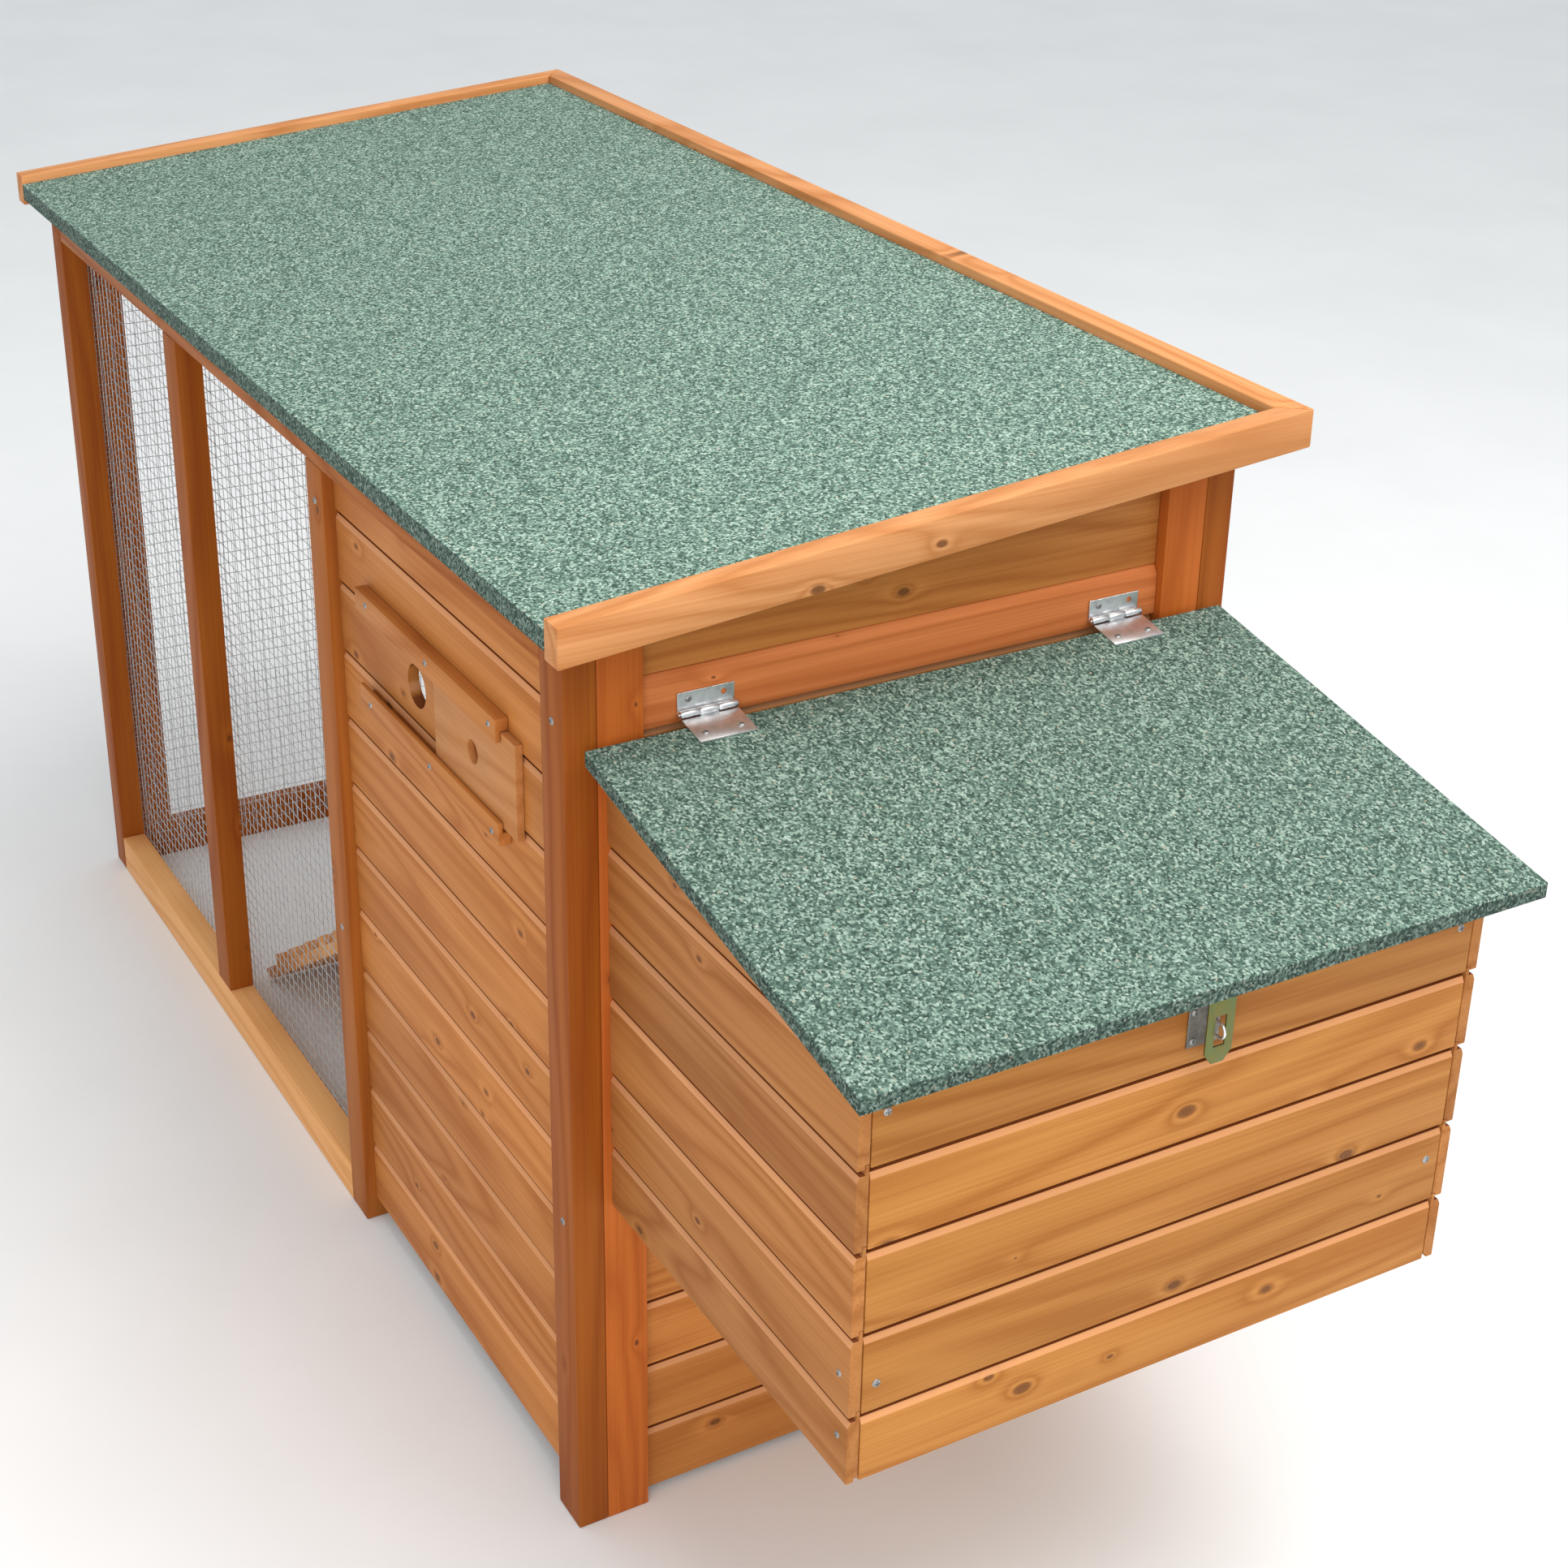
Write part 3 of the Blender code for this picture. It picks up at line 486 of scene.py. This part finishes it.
def wall_of_boards(node, axis, face, inward, start, end, first, pitch, count, extras, material):
    """Boards at an even pitch, then the odd ones at the bottom and top, all in one piece."""
    board = bpy.data.objects.new(
        node + "_board", prism_mesh("board", board_profile(face, inward, 0.0, pitch), axis, start, end))
    bpy.context.scene.collection.objects.link(board)
    mesh = run_tree(REPEAT, {"Piece": board, "Count": count, "Start": (0.0, 0.0, first),
                             "Step": (0.0, 0.0, pitch), "Jitter": 0.0, "Seed": 1,
                             "Material": material}, node + "_boards")
    bpy.data.objects.remove(board, do_unlink=True)
    bm = bmesh.new()
    bm.from_mesh(mesh)
    for low, high in extras:
        outline = board_profile(face, inward, low, high, tongue=high < first + pitch / 2)
        bm.from_mesh(prism_mesh("extra", outline, axis, start, end))
    return bm


def cut_mesh(bm, cutters, name):
    """Cuts closed shapes out of a bmesh and returns a mesh."""
    body = bpy.data.objects.new(name, to_mesh(bm, name))
    bpy.context.scene.collection.objects.link(body)
    helpers = []
    for number, cutter in enumerate(cutters):
        helper = bpy.data.objects.new(f"{name}_cutter_{number}", cutter)
        bpy.context.scene.collection.objects.link(helper)
        helpers.append(helper)
        modifier = body.modifiers.new("cut", "BOOLEAN")
        modifier.operation = "DIFFERENCE"
        modifier.solver = "EXACT"
        modifier.object = helper
    bpy.context.view_layer.update()
    graph = bpy.context.evaluated_depsgraph_get()
    mesh = bpy.data.meshes.new_from_object(body.evaluated_get(graph), depsgraph=graph)
    for spare in [body] + helpers:
        bpy.data.objects.remove(spare, do_unlink=True)
    mesh.materials.clear()
    return mesh


def cylinder_mesh(centre, axis, radius, length, sides=40):
    bm = bmesh.new()
    turn = Vector(axis).to_track_quat("Z", "Y").to_matrix().to_4x4()
    bmesh.ops.create_cone(bm, cap_ends=True, segments=sides, radius1=radius, radius2=radius, depth=length,
                          matrix=Matrix.Translation(centre) @ turn)
    return to_mesh(bm, "cylinder")


def box_mesh(low, high):
    bm = bmesh.new()
    middle = (Vector(low) + Vector(high)) / 2
    size = Vector(high) - Vector(low)
    bmesh.ops.create_cube(bm, size=1.0, matrix=Matrix.Translation(middle) @ Matrix.Diagonal((*size, 1)))
    return to_mesh(bm, "box")


def at(x, y, z):
    """A place measured from the house corner, in the coop's own coordinates."""
    return Vector((x + MID_X, y + MID_Y, z))


def finish_wall(node, bm, cutters, material):
    mesh = cut_mesh(bm, cutters, node + "_shape")
    mesh.polygons.foreach_set("material_index", [0] * len(mesh.polygons))
    return piece(node + "_piece", mesh, owner_of(node), [node], [material], 30)


PITCH = 0.062
low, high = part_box("front_cladding")
front_wood = wood("front_boards_wood", "x", 5.0, boards=(0.021, PITCH))
front_boards = wall_of_boards("front_cladding", "x", low[1], 1, low[0], high[0], 0.083, PITCH, 10,
                              [(low[2], 0.083), (0.703, high[2])], front_wood)
vent = cylinder_mesh(at(-0.290, 0.015, 0.613), (0, 1, 0), 0.018, 0.05)
finish_wall("front_cladding", front_boards, [vent], front_wood)
low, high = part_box("back_cladding")
back_wood = wood("back_boards_wood", "x", 6.0, boards=(0.021, PITCH))
back_boards = wall_of_boards("back_cladding", "x", high[1], -1, low[0], high[0], 0.083, PITCH, 11,
                             [(low[2], 0.083), (0.765, high[2])], back_wood)
finish_wall("back_cladding", back_boards, [], back_wood)
low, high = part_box("end_cladding")
end_wood = wood("end_boards_wood", "y", 7.0, boards=(0.004, PITCH))
end_boards = wall_of_boards("end_cladding", "y", high[0], -1, low[1], high[1], 0.004, PITCH, 10,
                            [(0.624, high[2])], end_wood)
doorways = []
for near_y, far_y in ((0.085, 0.265), (0.299, 0.479)):
    doorways.append(box_mesh(at(-0.05, near_y, 0.3113), at(0.02, far_y, 0.610)))
finish_wall("end_cladding", end_boards, doorways, end_wood)
print("three walls of boards")

# %% [markdown]
# The nest box boards follow the slope of the lid.

# %%
LIGHT = dict(light=(0.56, 0.240, 0.055), dark=(0.35, 0.115, 0.018))
NEST_PITCH = 0.0627


def nest_wall(node, axis, face, inward, start, end, edges, cutters, look):
    bm = bmesh.new()
    for bottom, top in zip(edges[:-1], edges[1:]):
        outline = board_profile(face, inward, bottom, top, top < edges[-1], 0.0090)
        bm.from_mesh(prism_mesh("board", outline, axis, start, end))
    finish_wall(node, bm, cutters, wood(node + "_wood", along=axis, **look))


low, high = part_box("nest_front_wall")
front_edges = [0.3005, 0.355, 0.419, 0.484, 0.545, high[2]]
nest_wall("nest_front_wall", "y", high[0], -1, low[1], high[1], front_edges, [],
          dict(seed=8.0, boards=(0.294, NEST_PITCH), knots=1.6, **LIGHT))
side_edges = [0.3005, 0.355, 0.419, 0.484, 0.545, 0.607, 0.669, 0.700]
SLOPE = 0.1762


def lid_underside(x):
    return 0.690 - SLOPE * (x - MID_X - 0.0096) - 0.0123


wedge = bmesh.new()
rows = []
for y in (-0.4, 0.4):
    rows.append([wedge.verts.new((x, y, z)) for x, z in (
        (MID_X - 0.05, lid_underside(MID_X - 0.05)), (MID_X + 0.45, lid_underside(MID_X + 0.45)),
        (MID_X + 0.45, 0.85), (MID_X - 0.05, 0.85))])
wedge.faces.new(rows[0])
wedge.faces.new(rows[1])
for i in range(4):
    wedge.faces.new((rows[0][i], rows[0][(i + 1) % 4], rows[1][(i + 1) % 4], rows[1][i]))
bmesh.ops.recalc_face_normals(wedge, faces=wedge.faces)
wedge_mesh = to_mesh(wedge, "wedge")
for node, inward, seed in (("nest_near_side", 1, 9.0), ("nest_far_side", -1, 10.0)):
    low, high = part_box(node)
    face = low[1] if inward == 1 else high[1]
    nest_wall(node, "x", face, inward, low[0], high[0], side_edges, [wedge_mesh.copy()],
              dict(seed=seed, boards=(0.294, NEST_PITCH), light=(0.53, 0.220, 0.062),
                   dark=(0.33, 0.108, 0.022)))
print("nest box walls")

# %%
slide_wood = wood("vent_slide_wood", "x", 12.5, (0.62, 0.275, 0.095), (0.47, 0.175, 0.048))
slide = clean_solid("vent_slide", 0.0006, 2)
piece("vent_slide_piece", to_mesh(slide, "vent_slide_shape"), "slide", ["vent_slide"],
      [slide_wood], 30)
print("sliding vent cover")


# %% [markdown]
# ## Felt
# The roof and lid felt keep their folded-over edges, which get a darker copy of the felt than the tops:
# painted shade.

# %%
def felt_piece(node, body, looks):
    bm = clean_solid(node, 0.0011, 3)
    mesh = to_mesh(bm, node + "_shape")
    made = piece(node + "_piece", mesh, body, [node], looks, 60)
    # Faces that point up get the top felt and the rest get the darker copy: painted shade.
    for polygon in mesh.polygons:
        polygon.material_index = 0 if polygon.normal.z > 0.55 else 1
    return made


felt_piece("roof_felt", "coop", ROOF_FELT)
felt_piece("lid_felt", "lid", LID_FELT)
print("two felt coverings")


# %% [markdown]
# ## Welded wire
# Straight runs of wire are laid along a panel and across it, then bent a little by noise.

# %%
def mesh_tree():
    tree, given, out = new_tree("welded_wire", [
        ("Width", "NodeSocketFloat"), ("Height", "NodeSocketFloat"), ("Pitch", "NodeSocketFloat"),
        ("Radius", "NodeSocketFloat"), ("Wander", "NodeSocketFloat"), ("Turn", "NodeSocketFloat"),
        ("Place", "NodeSocketVector"), ("Seed", "NodeSocketFloat"), ("Material", "NodeSocketMaterial")])
    joined = add(tree, "GeometryNodeJoinGeometry")

    def value(operation, a, b):
        node = add(tree, "ShaderNodeMath", operation=operation)
        for socket, item in zip(node.inputs, (a, b)):
            if isinstance(item, bpy.types.NodeSocket):
                link(tree, item, socket)
            else:
                socket.default_value = item
        return node.outputs[0]

    def vector(x=0.0, y=0.0, z=0.0):
        node = add(tree, "ShaderNodeCombineXYZ")
        for socket, item in zip(node.inputs, (x, y, z)):
            if isinstance(item, bpy.types.NodeSocket):
                link(tree, item, socket)
            else:
                socket.default_value = item
        return node.outputs[0]

    width, height, pitch = given.outputs["Width"], given.outputs["Height"], given.outputs["Pitch"]
    for upright in (True, False):
        long_side, short_side = (height, width) if upright else (width, height)
        wire = add(tree, "GeometryNodeCurvePrimitiveLine")
        end = vector(z=long_side) if upright else vector(x=long_side)
        link(tree, end, wire.inputs["End"])
        cuts = add(tree, "GeometryNodeResampleCurve")
        link(tree, wire.outputs[0], cuts.inputs["Curve"])
        link(tree, value("MULTIPLY", value("DIVIDE", long_side, pitch), 2.0), cuts.inputs["Count"])
        line = add(tree, "GeometryNodeMeshLine", mode="OFFSET")
        link(tree, value("DIVIDE", short_side, pitch), line.inputs["Count"])
        link(tree, vector(x=pitch) if upright else vector(z=pitch), line.inputs["Offset"])
        front = value("MULTIPLY", given.outputs["Radius"], 0.9 if upright else -0.9)
        link(tree, vector(x=value("MULTIPLY", pitch, 0.5), y=front) if upright
             else vector(z=value("MULTIPLY", pitch, 0.5), y=front), line.inputs["Start Location"])
        spread = add(tree, "GeometryNodeInstanceOnPoints")
        link(tree, line.outputs[0], spread.inputs["Points"])
        link(tree, cuts.outputs[0], spread.inputs["Instance"])
        link(tree, spread.outputs[0], joined.inputs[0])
    real = add(tree, "GeometryNodeRealizeInstances")
    link(tree, joined.outputs[0], real.inputs[0])
    rough = add(tree, "ShaderNodeTexNoise", noise_dimensions="4D")
    rough.inputs["Scale"].default_value = 26.0
    rough.inputs["Detail"].default_value = 1.0
    link(tree, given.outputs["Seed"], rough.inputs["W"])
    centred = add(tree, "ShaderNodeVectorMath", operation="SUBTRACT")
    link(tree, rough.outputs["Color"], centred.inputs[0])
    centred.inputs[1].default_value = (0.5, 0.5, 0.5)
    scaled = add(tree, "ShaderNodeVectorMath", operation="MULTIPLY")
    link(tree, centred.outputs[0], scaled.inputs[0])
    wander = given.outputs["Wander"]
    link(tree, vector(wander, value("MULTIPLY", wander, 0.35), wander), scaled.inputs[1])
    bend = add(tree, "GeometryNodeSetPosition")
    link(tree, real.outputs[0], bend.inputs["Geometry"])
    link(tree, scaled.outputs[0], bend.inputs["Offset"])
    ring = add(tree, "GeometryNodeCurvePrimitiveCircle")
    ring.inputs["Resolution"].default_value = 4
    link(tree, given.outputs["Radius"], ring.inputs["Radius"])
    tube = add(tree, "GeometryNodeCurveToMesh")
    link(tree, bend.outputs[0], tube.inputs["Curve"])
    link(tree, ring.outputs[0], tube.inputs["Profile Curve"])
    tube.inputs["Fill Caps"].default_value = True
    place = add(tree, "GeometryNodeTransform")
    link(tree, tube.outputs[0], place.inputs["Geometry"])
    link(tree, given.outputs["Place"], place.inputs["Translation"])
    link(tree, vector(z=given.outputs["Turn"]), place.inputs["Rotation"])
    smooth = add(tree, "GeometryNodeSetShadeSmooth")
    link(tree, place.outputs[0], smooth.inputs[0])
    last = add(tree, "GeometryNodeRealizeInstances")
    link(tree, smooth.outputs[0], last.inputs[0])
    paint = add(tree, "GeometryNodeSetMaterial")
    link(tree, last.outputs[0], paint.inputs["Geometry"])
    link(tree, given.outputs["Material"], paint.inputs["Material"])
    link(tree, paint.outputs[0], out.inputs[0])
    return tree


WELDED = mesh_tree()
MESH_PITCH = 0.0127
WIRE_RADIUS = 0.00042
for number, node in enumerate(("front_mesh", "back_mesh", "run_door_mesh", "left_end_mesh")):
    low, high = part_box(node)
    sideways = node == "left_end_mesh"
    width = high[1] - low[1] if sideways else high[0] - low[0]
    height = high[2] - low[2] - (0.03 if sideways else 0.0)
    middle = (Vector(low) + Vector(high)) / 2
    start = (middle.x, low[1], low[2]) if sideways else (low[0], middle.y, low[2])
    mesh = run_tree(WELDED, {"Width": width, "Height": height, "Pitch": MESH_PITCH, "Radius": WIRE_RADIUS,
                             "Wander": 0.0042, "Turn": math.pi / 2 if sideways else 0.0, "Place": start,
                             "Seed": float(number), "Material": WIRE}, node + "_wires")
    piece(node + "_piece", mesh, owner_of(node), [node], [])
    print(node, len(mesh.polygons), "faces")


# %% [markdown]
# ## Screws by Geometry Nodes
# One countersunk cross-head screw is repeated on a list of places, each with its own twist.

# %%
def screw_source(radius=0.0031):
    """A low domed head with a cross recess, its axis along +Z."""
    bm = bmesh.new()
    rings = []
    profile = [(1.00, -0.0012), (1.00, 0.0001), (0.90, 0.0005), (0.62, 0.0010), (0.30, 0.0012)]
    for size, z in profile:
        turns = [math.tau * i / 20 for i in range(20)]
        wide = radius * size
        ring = [bm.verts.new((wide * math.cos(t), wide * math.sin(t), z)) for t in turns]
        rings.append(ring)
    for a, b in zip(rings[:-1], rings[1:]):
        for i in range(20):
            j = (i + 1) % 20
            bm.faces.new((a[i], a[j], b[j], b[i]))
    bm.faces.new(rings[0][::-1])
    bm.faces.new(rings[-1])
    arm, wide = radius * 0.62, radius * 0.15
    cross = [
        box_mesh((-arm, -wide, 0.0004), (arm, wide, 0.004)),
        box_mesh((-wide, -arm, 0.0004), (wide, arm, 0.004)),
    ]
    mesh = cut_mesh(bm, cross, "screw")
    made = bpy.data.objects.new("screw_source", mesh)
    bpy.context.scene.collection.objects.link(made)
    return made


def screw_tree():
    tree, given, out = new_tree("screws_on_places", [
        ("Screw", "NodeSocketObject"), ("Places", "NodeSocketObject"), ("Tilt", "NodeSocketRotation"),
        ("Seed", "NodeSocketInt"), ("Material", "NodeSocketMaterial")])
    source = add(tree, "GeometryNodeObjectInfo")
    link(tree, given.outputs["Screw"], source.inputs["Object"])
    places = add(tree, "GeometryNodeObjectInfo")
    link(tree, given.outputs["Places"], places.inputs["Object"])
    twist = add(tree, "FunctionNodeRandomValue", data_type="FLOAT")
    twist.inputs[3].default_value = 3.14
    link(tree, given.outputs["Seed"], twist.inputs["Seed"])
    about = add(tree, "FunctionNodeAxisAngleToRotation")
    link(tree, twist.outputs[1], about.inputs["Angle"])
    turn = add(tree, "FunctionNodeRotateRotation", rotation_space="LOCAL")
    link(tree, given.outputs["Tilt"], turn.inputs[0])
    link(tree, about.outputs[0], turn.inputs[1])
    spread = add(tree, "GeometryNodeInstanceOnPoints")
    link(tree, places.outputs["Geometry"], spread.inputs["Points"])
    link(tree, source.outputs["Geometry"], spread.inputs["Instance"])
    link(tree, turn.outputs[0], spread.inputs["Rotation"])
    real = add(tree, "GeometryNodeRealizeInstances")
    link(tree, spread.outputs[0], real.inputs[0])
    paint = add(tree, "GeometryNodeSetMaterial")
    link(tree, real.outputs[0], paint.inputs["Geometry"])
    link(tree, given.outputs["Material"], paint.inputs["Material"])
    link(tree, paint.outputs[0], out.inputs[0])
    return tree


SCREW_TREE = screw_tree()
SCREW = screw_source()
SMALL_SCREW = screw_source(0.0026)


def screws(name, spots, axis, body, source=SCREW, seed=3):
    points = bpy.data.meshes.new(name + "_points")
    points.from_pydata([tuple(s) for s in spots], [], [])
    places = bpy.data.objects.new(name + "_places", points)
    bpy.context.scene.collection.objects.link(places)
    tilt = Vector(axis).to_track_quat("Z", "Y").to_euler()
    mesh = run_tree(SCREW_TREE, {"Screw": source, "Places": places, "Tilt": tilt, "Seed": seed,
                                 "Material": SCREW_ZINC}, name)
    bpy.data.objects.remove(places, do_unlink=True)
    return piece(name, mesh, body, smooth=40)


screws("front_frame_screws", [at(-0.471, 0, 0.707), at(-0.471, 0, 0.305), at(-0.0185, 0, 0.703),
                              at(-0.0185, 0, 0.286)], (0, -1, 0), "coop")
screws("nest_front_screws", [at(0.3386, 0.052, 0.585), at(0.3386, 0.052, 0.378), at(0.3386, 0.511, 0.585),
                             at(0.3386, 0.511, 0.394)], (1, 0, 0), "coop", seed=5)
screws("nest_side_screws", [at(0.326, 0.0318, z) for z in (0.335, 0.385)], (0, -1, 0), "coop", SMALL_SCREW, 6)
screws("vent_rail_screws", [at(x, -0.001, z) for x in (-0.365, -0.243, -0.126) for z in (0.6545, 0.567)],
       (0, -1, 0), "coop", SMALL_SCREW, 8)
HINGES = (0.1115, 0.4610)
screws("hinge_wall_screws", [at(-0.0045, y - 0.014, 0.7040) for y in HINGES], (1, 0, 0), "coop",
       SMALL_SCREW, 9)
lid_normal = Vector((math.sin(math.atan(SLOPE)), 0, math.cos(math.atan(SLOPE))))
lid_top = 0.690 - SLOPE * (0.0215 - 0.0096) + 0.0016
screws("hinge_lid_screws", [at(0.0215, y + s, lid_top) for y in HINGES for s in (-0.014, 0.014)],
       lid_normal, "lid", SMALL_SCREW, 11)
screws("staple_screws", [at(0.3403, 0.2825, z) for z in (0.5645, 0.5865)], (1, 0, 0), "coop", SMALL_SCREW, 12)
screws("run_door_hinge_screws", [at(-1.188, 0.5645, z + s) for z in (0.150, 0.660) for s in (-0.011, 0.011)],
       (0, 1, 0), "run_door", SMALL_SCREW, 13)
screws("run_post_hinge_screws", [at(-1.2200, 0.5645, z + s) for z in (0.150, 0.660) for s in (-0.011, 0.011)],
       (0, 1, 0), "coop", SMALL_SCREW, 14)
screws("door_button_screw", [at(-0.850, 0.5716, 0.420)], (0, 1, 0), "door_button", SCREW, 15)
for spare in (SCREW, SMALL_SCREW):
    bpy.data.objects.remove(spare, do_unlink=True)
print("screws placed")


# %% [markdown]
# ## Hinges, hasp and staple
# Each upper hinge leaf has one hole left without a screw.

# %%
for side, y in zip(("near", "far"), HINGES):
    node = f"lid_hinge_{side}_wall_leaf"
    empty = cylinder_mesh(at(-0.005, y + 0.014, 0.7040), (1, 0, 0), 0.0022, 0.02, 20)
    mesh = cut_mesh(clean_solid(node, 0.00025, 1), [empty], node + "_shape")
    mesh.polygons.foreach_set("material_index", [0] * len(mesh.polygons))
    piece(node + "_piece", mesh, "coop", [node], [ZINC], 35)
    finish_solid(f"lid_hinge_{side}_lid_leaf", ZINC, 0.00025, 1, 35)
    finish_solid(f"lid_hinge_{side}_pin", ZINC, 0.0002, 1, 40)
for node in ("run_door_lower_fixed_leaf", "run_door_upper_fixed_leaf", "run_door_lower_moving_leaf",
             "run_door_upper_moving_leaf", "ramp_hinge_pin"):
    finish_solid(node, ZINC, 0.0002, 1, 40)
finish_solid("staple_plate", DULL, 0.0002, 1, 40)
finish_solid("hasp_leaf", OLIVE, 0.0003, 1, 30)
finish_solid("hasp_strap", OLIVE, 0.0003, 2, 30)


def wire_loop(name, path, radius):
    """A round wire along a path of points."""
    curve = bpy.data.curves.new(name, "CURVE")
    curve.dimensions = "3D"
    curve.bevel_depth = radius
    curve.bevel_resolution = 3
    curve.use_fill_caps = True
    spline = curve.splines.new("POLY")
    spline.points.add(len(path) - 1)
    for point, place in zip(spline.points, path):
        point.co = (*place, 1)
    holder = bpy.data.objects.new(name + "_curve", curve)
    bpy.context.scene.collection.objects.link(holder)
    bpy.context.view_layer.update()
    graph = bpy.context.evaluated_depsgraph_get()
    mesh = bpy.data.meshes.new_from_object(holder.evaluated_get(graph), depsgraph=graph)
    bpy.data.objects.remove(holder, do_unlink=True)
    return mesh


loop = [at(0.3403, 0.295, 0.5755 - 0.0055)]
for i in range(13):
    turn = math.radians(-90 + 180 * i / 12)
    loop.append(at(0.3508 + 0.0052 * math.cos(turn), 0.295, 0.5755 + 0.0055 * math.sin(turn)))
loop.append(at(0.3403, 0.295, 0.5755 + 0.0055))
piece("staple_piece", wire_loop("staple_loop", loop, 0.0010), "coop", ["staple"], [ZINC], 60)
print("hinges, hasp and staple")


# %% [markdown]
# ## Floor, light and camera

# %%
floor_material, tree, shader = new_material("pale_floor")
shade = noise(tree, add(tree, "ShaderNodeTexCoord").outputs["Object"], 3.0, 4.0)
pale = ramp(tree, shade, [(0.3, (0.86, 0.86, 0.855)), (0.7, (0.90, 0.90, 0.895))])
feed(tree, shader.inputs["Base Color"], pale)
shader.inputs["Roughness"].default_value = 0.9
bpy.ops.mesh.primitive_plane_add(size=40, location=(0, 0, -0.0004))
floor = bpy.context.object
floor.name = "studio_floor"
floor.data.materials.append(floor_material)

world = bpy.data.worlds.new("studio")
bpy.context.scene.world = world
world.use_nodes = True
world.node_tree.nodes["Background"].inputs[0].default_value = (0.93, 0.97, 1.0, 1.0)
world.node_tree.nodes["Background"].inputs[1].default_value = 0.75


def area_light(name, place, target, size, power, colour=(1, 1, 1)):
    data = bpy.data.lights.new(name, "AREA")
    data.energy = power
    data.size = size
    data.color = colour
    light = bpy.data.objects.new(name, data)
    light.location = place
    light.rotation_euler = (Vector(place) - Vector(target)).to_track_quat("Z", "Y").to_euler()
    bpy.context.scene.collection.objects.link(light)


area_light("sky_panel", (1.2, 0.6, 3.4), (0, 0, 0.5), 2.6, 95, (1.0, 0.985, 0.96))
area_light("side_panel", (3.0, -1.8, 1.8), (0.2, 0, 0.4), 2.2, 34)

CAMERA_PLACE = Vector((1.87337, -0.94710, 1.47636))
AZIMUTH, ELEVATION, ROLL = math.radians(59.82), math.radians(25.58), math.radians(1.12)
back = Vector((math.sin(AZIMUTH) * math.cos(ELEVATION), -math.cos(AZIMUTH) * math.cos(ELEVATION),
               math.sin(ELEVATION)))
level = Vector((math.cos(AZIMUTH), math.sin(AZIMUTH), 0))
upright = back.cross(level)
across = level * math.cos(ROLL) + upright * math.sin(ROLL)
upward = upright * math.cos(ROLL) - level * math.sin(ROLL)
data = bpy.data.cameras.new("camera")
data.sensor_width = 36
data.lens = 3185.38 / 1932 * 36
data.shift_x = 0.0017
data.shift_y = -0.0534
camera = bpy.data.objects.new("camera", data)
camera.matrix_world = Matrix((
    (across.x, upward.x, back.x, CAMERA_PLACE.x),
    (across.y, upward.y, back.y, CAMERA_PLACE.y),
    (across.z, upward.z, back.z, CAMERA_PLACE.z),
    (0, 0, 0, 1)))
bpy.context.scene.collection.objects.link(camera)
bpy.context.scene.camera = camera
bpy.context.scene.view_settings.view_transform = "Standard"
print("camera in place")
